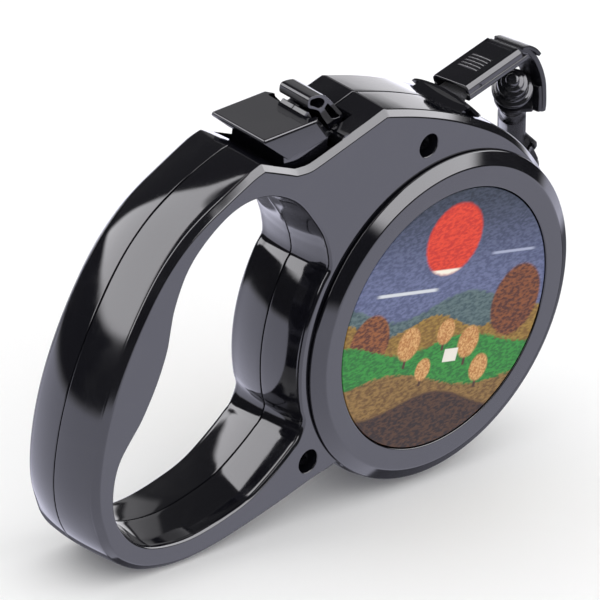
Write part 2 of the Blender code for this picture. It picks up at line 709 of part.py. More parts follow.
def clamp_half(name, frame, side):
    """Half of the hollow clamp block, top for side 1 and bottom for side -1, open behind and between its ears."""
    h, w, length = BLOCK_HALF_HEIGHT, BLOCK_HALF_WIDTH, BLOCK_LENGTH
    seam = 0.15
    b = BLOCK_BEVEL
    section = [(-w, side * seam), (w, side * seam), (w, side * (h - b)), (w - b, side * h), (-w + b, side * h),
               (-w, side * (h - b))]
    half = loft(name, [[(x, y, z) for y, z in section] for x in (0.0, length)], satin_black())
    inner_w, inner_h = w - BLOCK_WALL, h - BLOCK_FLOOR
    tunnel = [(-inner_w, -1), (inner_w, -1), (inner_w, inner_h), (-inner_w, inner_h)]
    rings = [[(x, y, side * z) for y, z in tunnel] for x in (-1.0, 16.0)]
    cutters = [loft(name + "_tunnel", rings, satin_black())]
    fork_w = STIRRUP_HALF_WIDTH + GAP
    cutters.append(box(name + "_fork", (STIRRUP_PIN[0] - STIRRUP_BARREL_RADIUS - 0.4, -fork_w, -9),
                       (length + 2, fork_w, 9), satin_black()))
    cutters.append(cross_pin(name + "_pin_bore", STIRRUP_PIN[0], STIRRUP_PIN[1], 0.9 + GAP, -6.6, 6.6, satin_black(), 16))
    rivet = turned_solid(name + "_rivet_bore", [(0.9 + GAP, -w - 1), (0.9 + GAP, w + 1)], satin_black(), 16)
    rivet.rotation_euler = (-math.pi / 2, 0, 0)
    rivet.location = (CLAMP_RIVET[0] * MM, 0, CLAMP_RIVET[1] * MM)
    cutters.append(rivet)
    for cutter in cutters:
        put_in(frame, cutter)
        boolean(half, cutter)
    put_in(frame, half)
    return half


def clamp_pins(frame):
    rivet = cross_pin("clamp_rivet", *CLAMP_RIVET, 0.9, -BLOCK_HALF_WIDTH - 0.1, BLOCK_HALF_WIDTH + 0.1, steel(), 16)
    pin = cross_pin("stirrup_pin", STIRRUP_PIN[0], STIRRUP_PIN[1], 0.9, -6.3, 6.3, steel(), 16)
    put_in(frame, rivet, pin)
    return rivet, pin


def snap_axes():
    """The snap's own frame: X across the claw, Z back up along the neck, all as world vectors."""
    down = Vector(SNAP_DIRECTION).normalized()
    ball = block_point(BALL_CENTRE)
    outward = Vector((ball.x, 0, ball.z)).normalized()
    across = down.cross(outward).normalized()
    back = -down
    return across, back.cross(across), back


def block_point(local):
    along, _, (across, up) = tape_axes()
    origin = Vector((BLOCK_ORIGIN[0], 0, BLOCK_ORIGIN[1]))
    return origin + along * local[0] + across * local[1] + up * local[2]


def swivel_stirrup(frame, snap_frame):
    """A barrel on the block's pin, an arch over the swivel ball and a plate that the neck passes through."""
    x, z = STIRRUP_PIN
    half = STIRRUP_HALF_WIDTH
    stirrup = cross_pin("swivel_stirrup", x, z, STIRRUP_BARREL_RADIUS, -half, half, satin_black(), 24)
    centre_line = [(x + 0.6, z + 0.9), (x + 4.0, z - 0.5), (26.4, -4.2), (27.5, -8.7), (27.8, -13.0), (27.4, -17.0),
                   (26.9, -20.5), (26.3, -22.4)]
    path = smooth_run(centre_line, 2)
    arch = swept_strip("stirrup_arch", path, half - 0.15, STIRRUP_THICKNESS, satin_black())
    plate = stirrup_plate("stirrup_plate")
    neck_hole = turned_solid("stirrup_neck_hole", [(NECK_RADIUS + GAP, -12), (NECK_RADIUS + GAP, -6)],
                             satin_black(), 24)
    put_in(frame, stirrup, arch)
    put_in(snap_frame, plate, neck_hole)
    boolean(stirrup, arch, "UNION")
    boolean(stirrup, plate, "UNION")
    boolean(stirrup, neck_hole)
    bore = cross_pin("stirrup_bore", x, z, 0.9 + GAP, -9, 9, satin_black(), 16)
    put_in(frame, bore)
    return boolean(stirrup, bore)


def swept_strip(name, path, half_width, thickness, look):
    """A flat strip along a path in the XZ plane, a little narrower towards its far end."""
    rings = []
    for k, (x, z) in enumerate(path):
        before = Vector(path[max(k - 1, 0)])
        after = Vector(path[min(k + 1, len(path) - 1)])
        tangent = (after - before).normalized()
        normal = Vector((-tangent.y, tangent.x)) * (thickness / 2)
        half = half_width * (1 - 0.35 * k / (len(path) - 1))
        rings.append([(x - normal.x, -half, z - normal.y), (x + normal.x, -half, z + normal.y),
                      (x + normal.x, half, z + normal.y), (x - normal.x, half, z - normal.y)])
    return loft(name, rings, look)


def stirrup_plate(name):
    """A round collar about the neck with a tongue that runs out to the arch, in the snap's frame."""
    axes = Matrix(snap_axes())
    along, _, (across, up) = tape_axes()
    target = block_point((27.4, 0.0, -18.6)) - block_point(BALL_CENTRE)
    towards = axes @ target
    bearing = math.atan2(towards.y, towards.x)
    reach = math.hypot(towards.x, towards.y)
    radius = 5.9
    collar = [(radius * math.cos(a + bearing), radius * math.sin(a + bearing)) for a in np.radians(np.linspace(50, 310, 18))]
    side = Vector((-math.sin(bearing), math.cos(bearing))) * radius * math.sin(math.radians(50)) * 0.8
    tip = Vector((math.cos(bearing), math.sin(bearing))) * reach
    outline = collar + [tuple(tip - side), tuple(tip + side)]
    return loft(name, [[(x, y, -d) for x, y in outline] for d in PLATE_DEPTH], satin_black())


def snap_hook_body(snap_frame):
    """One turned and bent solid: swivel ball, neck, barrel and the round claw with its open mouth."""
    ball = [(BALL_RADIUS * math.cos(a), BALL_RADIUS * math.sin(a)) for a in np.radians((80, 60, 40, 20, 0, -20, -40))]
    profile = ball + [(NECK_RADIUS, -5.4), (NECK_RADIUS, -BARREL_DEPTH[0]), (BARREL_RADIUS, -BARREL_DEPTH[0] - 1.0),
                      (BARREL_RADIUS, -BARREL_DEPTH[1]), (2.6, -BARREL_DEPTH[1] - 1.5)]
    body = turned_solid("snap_hook_body", profile[::-1], steel(), 28, 30)
    claw = claw_sweep("snap_claw")
    knuckle = gate_knuckle("snap_knuckle")
    slot = box("snap_gate_slot", (GATE_PIVOT[0] - 3.4, -1.5, -49.6), (GATE_PIVOT[0] + 4.4, 1.5, -42.6), steel())
    bore = cross_pin("snap_gate_bore", GATE_PIVOT[0], -GATE_PIVOT[1], 0.8 + GAP, -6, 6, steel(), 16)
    put_in(snap_frame, body, claw, knuckle, slot, bore)
    boolean(body, claw, "UNION")
    boolean(body, knuckle, "UNION")
    boolean(body, slot)
    return boolean(body, bore)


def claw_sweep(name):
    """A round bar that leaves the barrel's end, swings left round the claw circle and ends at the mouth."""
    path = [(0.0, -39.0), (-1.4, -43.0)]
    circle = [(CLAW_RADIUS * math.cos(a), -CLAW_CENTRE_DEPTH + CLAW_RADIUS * math.sin(a))
              for a in np.radians(np.linspace(128, 368, 22))]
    path = path + [(-3.2, -47.2)] + circle
    rings = []
    for k, (x, z) in enumerate(path):
        before = Vector(path[max(k - 1, 0)])
        after = Vector(path[min(k + 1, len(path) - 1)])
        tangent = (after - before).normalized()
        normal = Vector((tangent.y, -tangent.x))
        ring = []
        for i in range(10):
            a = 2 * math.pi * i / 10
            r = CLAW_WIRE_RADIUS
            ring.append((x + normal.x * r * math.cos(a), r * math.sin(a), z + normal.y * r * math.cos(a)))
        rings.append(ring)
    return loft(name, rings, steel(), 50)


def gate_knuckle(name):
    x, d = GATE_PIVOT
    outline = [(-2.5, -40.0), (2.5, -40.0), (x + 2.2, -d + 1.6), (x + 2.2, -d - 1.6), (x, -d - 2.3), (-1.0, -47.0)]
    return side_prism(name, outline, -3.0, 3.0, steel())


def snap_gate(snap_frame):
    """The sprung gate: an eye on the pin and a finger that closes the claw's mouth from inside."""
    x, d = GATE_PIVOT
    tip_x, tip_d = CLAW_RADIUS - 0.2, CLAW_CENTRE_DEPTH - 2.9
    outline = [(x - 1.5, -d + 1.3), (x + 1.3, -d + 1.3), (x + 1.9, -d), (tip_x + 1.5, -tip_d), (tip_x - 1.3, -tip_d),
               (x - 1.8, -d - 1.0)]
    gate = side_prism("snap_gate", outline, -1.2, 1.2, steel())
    bore = cross_pin("snap_gate_eye", x, -d, 0.8 + GAP, -6, 6, steel(), 16)
    pin = cross_pin("snap_gate_pin", x, -d, 0.8, -3.4, 3.4, steel(), 16)
    put_in(snap_frame, gate, bore, pin)
    return boolean(gate, bore)


# ---------------------------------------------------------------- the whole leash


def move_into_frame():
    """Hangs every object without a parent from one root, moved so that the right disc's face is at Y = 0."""
    root = bpy.data.objects.new("leash", None)
    bpy.context.scene.collection.objects.link(root)
    root.location.y = PRINT_Y[1] * MM
    put_in(root, *[obj for obj in bpy.data.objects if obj.parent is None and obj is not root])


def clear_scene():
    for obj in list(bpy.data.objects):
        bpy.data.objects.remove(obj, do_unlink=True)


def build():
    clear_scene()
    outlet = outlet_frame()
    block = block_frame()
    snap = frame_empty("snap_frame", block_point(BALL_CENTRE), *snap_axes())
    for name, side in (("right", -1), ("left", 1)):
        shell(name + "_shell", side)
        cover_ring(name + "_cover_ring", side)
        print_disc(name + "_print_disc", side)
    for name, (x, z) in CASE_SCREWS.items():
        case_screw(name, x, z)
    axle_screw()
    drum_axle()
    power_spring()
    tape_drum()
    drum_flange()
    spring_cover()
    wound_tape()
    brake_button()
    brake_pawl()
    brake_spring()
    lock_lever()
    cross_pin("lock_lever_pin", *LEVER_PIVOT, LEVER_PIN_RADIUS, -10.3, 10.3, steel())
    tape_nozzle(outlet)
    tape_guide_pin()
    tape_lead()
    tape_run()
    clamp_half("clamp_cover", block, 1)
    clamp_half("clamp_base", block, -1)
    clamp_pins(block)
    swivel_stirrup(block, snap)
    snap_hook_body(snap)
    snap_gate(snap)
    move_into_frame()


build()
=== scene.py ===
"""Looks of the retractable leash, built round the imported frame.

Lengths are in millimetres about the mid-plane between the shells, as in the part's source, unless a comment
says otherwise. A placing matrix moves each piece into the row frame, and MM turns it into Blender's metres.
"""

import json
import math

import bmesh
import bpy
import numpy as np
from mathutils import Matrix, Vector

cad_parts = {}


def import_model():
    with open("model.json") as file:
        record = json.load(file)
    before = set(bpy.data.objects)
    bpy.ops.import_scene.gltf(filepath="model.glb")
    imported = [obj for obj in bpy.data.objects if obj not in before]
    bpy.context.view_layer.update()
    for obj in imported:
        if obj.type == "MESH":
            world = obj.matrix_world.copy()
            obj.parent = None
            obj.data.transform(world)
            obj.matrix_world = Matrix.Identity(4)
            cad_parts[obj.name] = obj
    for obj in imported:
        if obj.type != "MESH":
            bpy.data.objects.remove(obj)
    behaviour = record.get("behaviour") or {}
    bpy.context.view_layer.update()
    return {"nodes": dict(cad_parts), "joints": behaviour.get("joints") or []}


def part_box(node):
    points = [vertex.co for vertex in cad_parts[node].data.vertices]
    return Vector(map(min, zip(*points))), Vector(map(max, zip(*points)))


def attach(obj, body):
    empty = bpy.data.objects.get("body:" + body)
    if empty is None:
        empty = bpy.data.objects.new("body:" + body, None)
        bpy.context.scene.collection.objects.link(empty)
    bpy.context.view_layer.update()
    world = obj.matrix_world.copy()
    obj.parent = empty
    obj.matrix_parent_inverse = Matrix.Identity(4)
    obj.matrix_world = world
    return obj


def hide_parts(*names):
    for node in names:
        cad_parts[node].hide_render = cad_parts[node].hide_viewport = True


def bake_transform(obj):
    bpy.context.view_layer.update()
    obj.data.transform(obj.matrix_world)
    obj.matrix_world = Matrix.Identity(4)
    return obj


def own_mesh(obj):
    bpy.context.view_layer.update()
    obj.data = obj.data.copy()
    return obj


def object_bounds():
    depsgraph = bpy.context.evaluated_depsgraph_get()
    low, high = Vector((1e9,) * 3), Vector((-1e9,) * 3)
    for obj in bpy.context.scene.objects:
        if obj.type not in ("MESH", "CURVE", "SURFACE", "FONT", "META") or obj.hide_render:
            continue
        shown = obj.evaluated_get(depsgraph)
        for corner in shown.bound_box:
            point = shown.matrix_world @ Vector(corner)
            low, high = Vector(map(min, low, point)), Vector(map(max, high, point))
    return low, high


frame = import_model()

MM = 0.001
GAP = 0.3


def box_mm(node):
    low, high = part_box(node)
    return low / MM, high / MM


TAPE_LOW, TAPE_HIGH = box_mm("wound_tape")
MID_Y = (TAPE_LOW.y + TAPE_HIGH.y) / 2
TAPE_WIDTH = TAPE_HIGH.y - TAPE_LOW.y

# Casing
HALF_WIDTH = MID_Y - box_mm("right_shell")[0].y
SEAM_HALF_GAP = 0.15
CHAMFER = 1.8
EDGE_Y = HALF_WIDTH - CHAMFER
WALL = 2.2
CAVITY_HALF_WIDTH = HALF_WIDTH - WALL
CROWN = 2.5
REEL_RADIUS = 50.6
FRONT_ARC = (math.radians(-130), math.radians(36))
HOLE_LEAN = 2.6
HOLE_EDGE_INSET = 0.9
HOLE_ARC_RADIUS = 52.4
HOLE_ARC = (math.radians(149), math.radians(203))

# Outer side of the casing: front arc, top slope, button dip and hand loop, each a smooth run between corners
TOP_SLOPE = [
    (40.94, 29.74), (35.6, 37.2), (28.6, 44.8), (19.3, 52.3), (6.6, 59.3), (-6.0, 64.8), (-18.4, 69.1),
    (-30.0, 72.3),
]
BUTTON_DIP = [(-53.7, 64.6), (-58.5, 63.3), (-63.4, 63.4)]
HAND_LOOP = [
    (-76.8, 69.2), (-82.0, 68.2), (-94.3, 63.0), (-105.9, 55.7), (-115.2, 45.8), (-122.4, 33.4),
    (-128.0, 20.0), (-131.8, 6.2), (-133.5, -7.9), (-132.8, -22.2), (-128.6, -34.4), (-120.5, -43.7),
    (-108.0, -49.9), (-92.0, -52.3), (-75.0, -50.2), (-55.0, -45.0), (-43.0, -41.3), (-36.0, -39.6),
]
HOLE_LOWER = [
    (-49.8, -25.8), (-55.0, -30.8), (-65.0, -38.3), (-75.0, -42.3), (-90.0, -45.3), (-105.0, -43.8),
    (-115.0, -38.3), (-121.5, -30.0), (-123.6, -20.0), (-122.0, -10.5), (-115.8, -0.8), (-111.2, 9.5),
    (-108.4, 20.0), (-107.6, 31.0), (-104.2, 42.5), (-98.0, 50.6), (-89.0, 57.0), (-80.0, 59.2),
    (-70.8, 57.7), (-61.5, 52.8), (-54.5, 45.7), (-49.0, 38.6), (-46.2, 32.6),
]
SMOOTH_STEPS = 4

# Screws, brake button, lock lever and brake spring
CASE_SCREWS = [(-11.4, 56.2), (-45.5, -33.5)]
BOSS_RADIUS = 5.0
COUNTERBORE_RADIUS = 3.5
COUNTERBORE_FLOOR_Y = 4.5
AXLE_SCREW_FLOOR_Y = 13.0
SHANK_BORE_RADIUS = 1.8
BUTTON_POCKET = [(-72.4, 80.0), (-72.4, 60.6), (-66.6, 58.4), (-60.0, 54.4), (-45.3, 54.4), (-45.3, 80.0)]
POCKET_HALF_WIDTH = 12.4
LEVER_SLOT_X = (-46.0, -36.8)
LEVER_SLOT_HALF_WIDTH = 7.0
LEVER_PIVOT = (-41.0, 66.2)
LEVER_PIN_BORE_RADIUS = 1.5
LEVER_HUB_RADIUS = 2.9
LEVER_HALF_WIDTH = 5.7
LEVER_OUTER = [
    (-38.9, 69.9), (-42.1, 73.4), (-45.4, 76.8), (-47.0, 78.2), (-48.8, 79.1), (-51.0, 79.5), (-53.0, 79.5),
    (-53.8, 79.0), (-54.0, 78.2), (-53.9, 76.9), (-53.2, 76.1), (-51.2, 75.2), (-49.1, 74.0), (-47.7, 71.9),
    (-45.2, 68.9),
]
LEVER_LOOP = [
    (-53.1, 78.2), (-52.7, 78.6), (-50.8, 78.6), (-49.2, 78.2), (-47.6, 77.1), (-47.4, 76.0), (-48.9, 75.0),
    (-51.2, 76.2), (-52.9, 77.0),
]
LEVER_LEG_GAP = [(-47.0, 74.4), (-45.9, 75.6), (-42.9, 72.6), (-40.2, 69.9), (-41.9, 69.8), (-43.6, 70.2)]
BUTTON_SKIRT = [(-66.3, 68.0), (-66.3, 62.4), (-60.5, 58.6), (-49.0, 58.6), (-49.0, 68.0)]
BUTTON_SKIRT_HALF_WIDTH = 10.4
BUTTON_RECESS = [(-55.4, 80.0), (-55.4, 71.6), (-51.4, 70.0), (-48.8, 68.1), (-45.0, 65.4), (-40.0, 80.0)]
RECESS_HALF_WIDTH = 8.4
STOP_SECTION = [(-54.9, 69.0), (-54.9, 72.2), (-52.7, 74.4), (-52.0, 74.2), (-50.6, 72.0), (-50.2, 68.0)]
STOP_SPANS = [(-4.6, 0.35), (0.6, 5.2)]
BRAKE_SPRING_X = -53.6
BRAKE_SPRING_Z = (51.4, 58.2)
BRAKE_SPRING_RADIUS = 2.8
BRAKE_SPRING_WIRE = 0.4
BRAKE_SPRING_TURNS = 4.5

# Cover rings and printed discs: radius and distance from the mid-plane
RING_BASE_RADIUS = 50.0
RING_FLAT_RADIUS = 46.2
RING_SEAT_RADIUS = 39.9
RING_BORE_RADIUS = 36.0
RING_FACE_Y = 17.2
RING_STEP_Y = 15.0
RING_SEAT_Y = 15.2
PRINT_RADIUS = 39.6
PRINT_Y = (15.5, 16.95)
PRINT_TILT = math.radians(10.6)
DISC_STEPS = 192

# Trees in the printed landscape: place to the right and up, and size
PRINT_TREES = [
    (-12.0, -7.0, 4.4), (2.5, -4.5, 3.4), (13.0, -8.5, 4.2), (-3.5, -15.5, 3.0), (20.0, -17.0, 3.6),
]

# Tape and its outlet
OUTLET = (8.7, 59.4)
NOZZLE_HALF_WIDTH = 13.3
NOZZLE_HALF_HEIGHT = 2.6
NOZZLE_FLANGE = 0.55
SLEEVE_HALF_WIDTH = 9.6
SLEEVE_HALF_HEIGHT = 1.7
TAPE_THICKNESS = 0.9
TAPE_RIBS = 11
WARP_PITCH = 0.6
WEFT_PITCH = 0.9
WOUND_TAPE_RADIUS = 42.0

# Clamp block, from its rear end: x along the tape, y across, z up
BLOCK_LENGTH = 23.0
BLOCK_HALF_WIDTH = 7.4
BLOCK_HALF_HEIGHT = 2.8
BLOCK_BEVEL = 1.1
BASE_HALF_HEIGHT = 2.4
TOP_PLATE_LENGTH = 21.2
TUNNEL_LENGTH = 16.0
BLOCK_TAPE_HEIGHT = -1.15
BLOCK_TAPE_END = 12.0
CLAMP_RIVET = (4.5, 0.5)
RIVET_RADIUS = 0.5
GRIP_RIBS = 5
GRIP_RIB_START = 7.4
GRIP_RIB_PITCH = 1.38
GRIP_RIB_HALF = 4.6

# Stirrup, in the block's frame
STIRRUP_PIN_X = 20.3
STIRRUP_PIN_RADIUS = 0.9
STIRRUP_BORE_RADIUS = 1.2
STIRRUP_HALF_WIDTH = 5.5
STIRRUP_THICKNESS = 1.6
STIRRUP_ARCH = [
    (20.9, 1.2), (24.7, -0.1), (27.0, -4.0), (28.15, -8.6), (28.4, -13.0), (27.8, -17.0), (27.0, -20.5),
    (26.4, -22.4),
]
STIRRUP_FOOT = [(27.6, -14.2), (27.2, -17.0), (26.4, -20.0), (25.8, -22.0)]
STIRRUP_HOOD = [(23.0, 1.7), (25.4, 0.5), (27.3, -1.6), (28.3, -3.7)]
KNUCKLE_RADIUS = 2.7

# Snap hook, in its own frame: depths run down from the swivel ball along its axis
NECK_RADIUS = 3.4
NECK_RING_DEPTHS = (15.6, 14.2, 12.8, 11.4)
NECK_RING_RADIUS = NECK_RADIUS + 0.35
BARREL_RADIUS = 4.0
BARREL_DEPTH = (20.0, 42.0)
CLAW_DEPTH = 55.0
CLAW_RADIUS = 6.8
CLAW_WIRE_RADIUS = 2.2
GATE_PIVOT = (4.6, 45.6)
GATE_PIN_RADIUS = 0.8
GATE_BORE_RADIUS = 1.1
COLLAR_RADIUS = 5.2
COLLAR_DEPTH = (7.0, 9.2)
HEAD_STEPS = [
    (4.3, -5.0), (4.6, -4.7), (4.6, -4.2), (4.4, -4.0), (5.0, -3.2), (5.2, -2.9), (5.75, -2.5), (5.85, -2.2),
    (5.85, -1.3), (5.7, -1.0), (5.3, -0.8), (4.7, -0.6), (4.45, -0.3), (4.4, 0.5), (4.15, 0.7), (4.15, 0.9),
    (4.4, 1.1), (4.4, 2.6), (4.2, 3.1), (3.6, 3.4), (3.3, 3.6), (3.25, 4.2), (3.0, 4.5), (2.2, 4.7),
    (2.0, 4.9), (1.95, 5.6), (1.6, 6.1), (0.9, 6.35),
]


# ---- frames of the moving pieces


def joint(name):
    return next(j for j in frame["joints"] if j["name"] == name)


def placing(origin, x_axis, y_axis, z_axis):
    """The matrix from a local frame in millimetres to the row frame in millimetres."""
    turn = Matrix((x_axis, y_axis, z_axis)).transposed().to_4x4()
    return Matrix.Translation(origin) @ turn


def row_point(joint_name):
    return Vector(joint(joint_name)["pos_m"]) / MM


CASING = Matrix.Translation((0, MID_Y, 0))
TAPE_ALONG = Vector(joint("tape_pull")["axis"]).normalized()
BLOCK_ACROSS = -Vector(joint("stirrup_swing")["axis"]).normalized()
BLOCK_UP = TAPE_ALONG.cross(BLOCK_ACROSS).normalized()
BLOCK = placing(row_point("stirrup_swing") - TAPE_ALONG * STIRRUP_PIN_X, TAPE_ALONG, BLOCK_ACROSS, BLOCK_UP)
LEVEL_ACROSS = Vector((0, 1, 0))
LEVEL_UP = TAPE_ALONG.cross(LEVEL_ACROSS).normalized()
OUTLET_PLACE = placing((OUTLET[0], MID_Y, OUTLET[1]), TAPE_ALONG, LEVEL_ACROSS, LEVEL_UP)
SNAP_BACK = -Vector(joint("swivel_spin")["axis"]).normalized()
SNAP_SIDE = Vector(joint("gate_open")["axis"]).normalized()
SNAP = placing(row_point("swivel_spin"), SNAP_SIDE.cross(SNAP_BACK).normalized(), SNAP_SIDE, SNAP_BACK)


# ---- mesh helpers


def mesh_object(name, bm):
    bmesh.ops.remove_doubles(bm, verts=bm.verts, dist=1e-6)
    bmesh.ops.recalc_face_normals(bm, faces=bm.faces)
    mesh = bpy.data.meshes.new(name)
    bm.to_mesh(mesh)
    bm.free()
    obj = bpy.data.objects.new(name, mesh)
    bpy.context.scene.collection.objects.link(obj)
    return obj


def loft(name, rings, place=CASING, closed=False):
    """A solid through rings of equally many points: capped at both ends, or joined end to end when closed."""
    bm = bmesh.new()
    layers = [[bm.verts.new((place @ Vector(p)) * MM) for p in ring] for ring in rings]
    count = len(layers[0])
    pairs = list(zip(layers, layers[1:]))
    if closed:
        pairs.append((layers[-1], layers[0]))
    for lower, upper in pairs:
        for i in range(count):
            j = (i + 1) % count
            bm.faces.new((lower[i], lower[j], upper[j], upper[i]))
    if not closed:
        bm.faces.new(layers[0])
        bm.faces.new(layers[-1])
    return mesh_object(name, bm)


def side_prism(name, outline, y0, y1, place=CASING):
    return loft(name, [[(x, y, z) for x, z in outline] for y in (y0, y1)], place)


def slab(name, low, high, place=CASING):
    outline = [(low[0], low[2]), (high[0], low[2]), (high[0], high[2]), (low[0], high[2])]
    return side_prism(name, outline, low[1], high[1], place)


def whole_turn(steps):
    return np.linspace(0, 2 * math.pi, steps, endpoint=False)


def turned(name, profile):
    """A closed profile of (radius, y) turned about the casing's Y axis; every radius is above zero."""
    rings = []
    for a in whole_turn(DISC_STEPS):
        rings.append([(r * math.cos(a), y, r * math.sin(a)) for r, y in profile])
    return loft(name, rings, closed=True)


def turned_solid(name, profile, steps, place=CASING, axis="Y"):
    """Rings of a (radius, height) profile about the Y or the Z axis, with flat end caps."""
    rings = []
    for r, h in profile:
        ring = [(r * math.cos(a), r * math.sin(a)) for a in whole_turn(steps)]
        rings.append([(x, h, y) if axis == "Y" else (x, y, h) for x, y in ring])
    return loft(name, rings, place)


def pin_between(name, x, z, radius, y0, y1, place=CASING, steps=40):
    return turned_solid(name, [(radius, y0), (radius, y1)], steps, place @ Matrix.Translation((x, 0, z)))


def bake(obj):
    """Replaces the mesh by what its modifiers make of it."""
    depsgraph = bpy.context.evaluated_depsgraph_get()
    mesh = bpy.data.meshes.new_from_object(obj.evaluated_get(depsgraph))
    obj.modifiers.clear()
    obj.data = mesh
    return obj


def combine(obj, others, operation):
    for other in others:
        modifier = obj.modifiers.new(other.name, "BOOLEAN")
        modifier.operation = operation
        modifier.object = other
    bake(obj)
    for other in others:
        bpy.data.objects.remove(other, do_unlink=True)
    return obj


def cut(obj, *cutters):
    return combine(obj, cutters, "DIFFERENCE")


def join(obj, *others):
    return combine(obj, others, "UNION")


def round_edges(obj, width, segments=3, angle=25):
    modifier = obj.modifiers.new("round_edges", "BEVEL")
    modifier.width = width * MM
    modifier.segments = segments
    modifier.limit_method = "ANGLE"
    modifier.angle_limit = math.radians(angle)
    modifier.miter_outer = "MITER_ARC"
    return bake(obj)


def smooth(obj, angle=30):
    """Smooth shading up to an angle, with the large faces ruling the normals."""
    obj.data.shade_smooth()
    obj.data.set_sharp_from_angle(angle=math.radians(angle))
    modifier = obj.modifiers.new("weighted_normals", "WEIGHTED_NORMAL")
    modifier.keep_sharp = True
    modifier.weight = 100
    return obj


def place_piece(obj, body, look, node):
    """Paints the piece, hangs it on its body and hides the CAD node that it replaces."""
    obj.data.materials.clear()
    obj.data.materials.append(look)
    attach(obj, body)
    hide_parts(node)
    return obj


# ---- outlines


def arc(radius, start, end, count):
    return [(radius * math.cos(a), radius * math.sin(a)) for a in np.linspace(start, end, count)]


def smooth_run(points, per_span):
    """A Catmull-Rom curve through the points, with per_span steps between neighbours."""
    p = [Vector(point) for point in points]
    p = [2 * p[0] - p[1]] + p + [2 * p[-1] - p[-2]]
    out = []
    for a, b, c, d in zip(p, p[1:], p[2:], p[3:]):
        for k in range(per_span):
            t = k / per_span
            point = b * 2 + (c - a) * t + (a * 2 - b * 5 + c * 4 - d) * t * t
            point = (point + (b * 3 - a - c * 3 + d) * t * t * t) / 2
            out.append(tuple(point))
    out.append(tuple(points[-1]))
    return out


def offset(outline, distance):
    """A closed counterclockwise outline moved outwards by distance, or inwards if it is negative."""
    p = np.array(outline)
    along = np.roll(p, -1, 0) - p
    along /= np.linalg.norm(along, axis=1)[:, None]
    normal = np.stack([along[:, 1], -along[:, 0]], 1)
    mean = normal + np.roll(normal, 1, 0)
    mean /= np.linalg.norm(mean, axis=1)[:, None]
    stretch = np.clip((mean * normal).sum(1), 0.6, 1.0)
    return [tuple(point) for point in p + mean * distance / stretch[:, None]]


def refined(outline, corners):
    """A closed outline made finer by curves that run from corner to corner, or right round if it has none."""
    if not corners:
        extended = outline[-2:] + outline + outline[:3]
        fine = smooth_run(extended, SMOOTH_STEPS)
        return fine[2 * SMOOTH_STEPS:(2 + len(outline)) * SMOOTH_STEPS]
    start = corners[0]
    turned_round = outline[start:] + outline[:start + 1]
    stops = [c - start for c in corners] + [len(outline)]
    fine = []
    for a, b in zip(stops, stops[1:]):
        fine += smooth_run(turned_round[a:b + 1], SMOOTH_STEPS)[:-1]
    return fine


def casing_outline():
    """(outline, indices of its corners): counterclockwise from the lower front."""
    reel = arc(REEL_RADIUS, *FRONT_ARC, 36)[:-1]
    top = smooth_run(TOP_SLOPE, 2)
    dip = list(BUTTON_DIP)
    loop = smooth_run(HAND_LOOP, 2)
    top_corner = len(reel) + len(top) - 1
    corners = [top_corner, top_corner + 1, top_corner + len(dip), top_corner + len(dip) + 1]
    return reel + top + dip + loop, corners


def hole_outline():
    """The hand hole at the side face, counterclockwise."""
    drum_side = arc(HOLE_ARC_RADIUS, *HOLE_ARC, 12)
    return (drum_side + smooth_run(HOLE_LOWER, 2))[::-1]


def drawn_in(outline, share):
    """The outline drawn in by a share of the crown: in full round the hand loop, hardly at all elsewhere."""
    p = np.array(outline)
    full = np.array(offset(outline, -CROWN * share))
    rearward = np.clip((-p[:, 0] - 70.0) / 22.0, 0.05, 1.0)
    upward = np.clip((p[:, 1] + 50.0) / 16.0, 0.0, 1.0)
    return [tuple(point) for point in p + (full - p) * (rearward * upward)[:, None]]


# ---- casing


def rim_stations():
    """(share of the crown, further inset, |y|), from the seam's lip over the crown to the face's edge."""
    lip = [(0.0, 0.32, SEAM_HALF_GAP), (0.0, 0.12, 0.2), (0.0, 0.03, 0.32), (0.0, 0.0, 0.5)]
    crown = [((y / EDGE_Y) ** 2, 0.0, y) for y in np.linspace(2.0, EDGE_Y - 0.5, 8)]
    heel = [(1.0, 0.25 * (t + 1) ** 2 * 0.3, EDGE_Y + 0.3 * t) for t in (-1.0, -0.5, 0.0, 0.5, 1.0)]
    shoulder = []
    for t in (0.0, 0.25, 0.5, 0.75, 1.0):
        from_edge = CHAMFER - 0.3 * (1 - t) ** 2 + 0.42 * t * t
        shoulder.append((1.0, from_edge, HALF_WIDTH - 0.3 * (1 - t) ** 2))
    return lip + crown + heel + shoulder


def sided(outline, side, y):
    return [(x, side * y, z) for x, z in outline]


def shell_block(name, side):
    outline, corners = casing_outline()
    rings = []
    for share, inset, y in rim_stations():
        line = drawn_in(outline, share)
        if inset:
            line = offset(line, -inset)
        rings.append(sided(refined(line, corners), side, y))
    return loft(name, rings)


def hand_hole_cutter(name, side):
    """The hole's wall bulges towards the seam, where it has a rounded lip, and rolls over into the face."""
    face = hole_outline()
    lip_inset = HOLE_LEAN - 0.3
    stations = [(lip_inset, -1.0), (lip_inset, SEAM_HALF_GAP), (HOLE_LEAN - 0.1, 0.22), (HOLE_LEAN, 0.5)]
    for y in np.linspace(2.0, EDGE_Y, 7):
        stations.append((HOLE_LEAN - (HOLE_LEAN - HOLE_EDGE_INSET) * (y / EDGE_Y) ** 2, y))
    for a in np.radians((15, 30, 45, 60, 75, 90)):
        stations.append((HOLE_EDGE_INSET * math.cos(a), EDGE_Y + CHAMFER * math.sin(a)))
    stations.append((0.0, HALF_WIDTH + 2.0))
    rings = [sided(refined(offset(face, -inset), []), side, y) for inset, y in stations]
    return loft(name, rings)


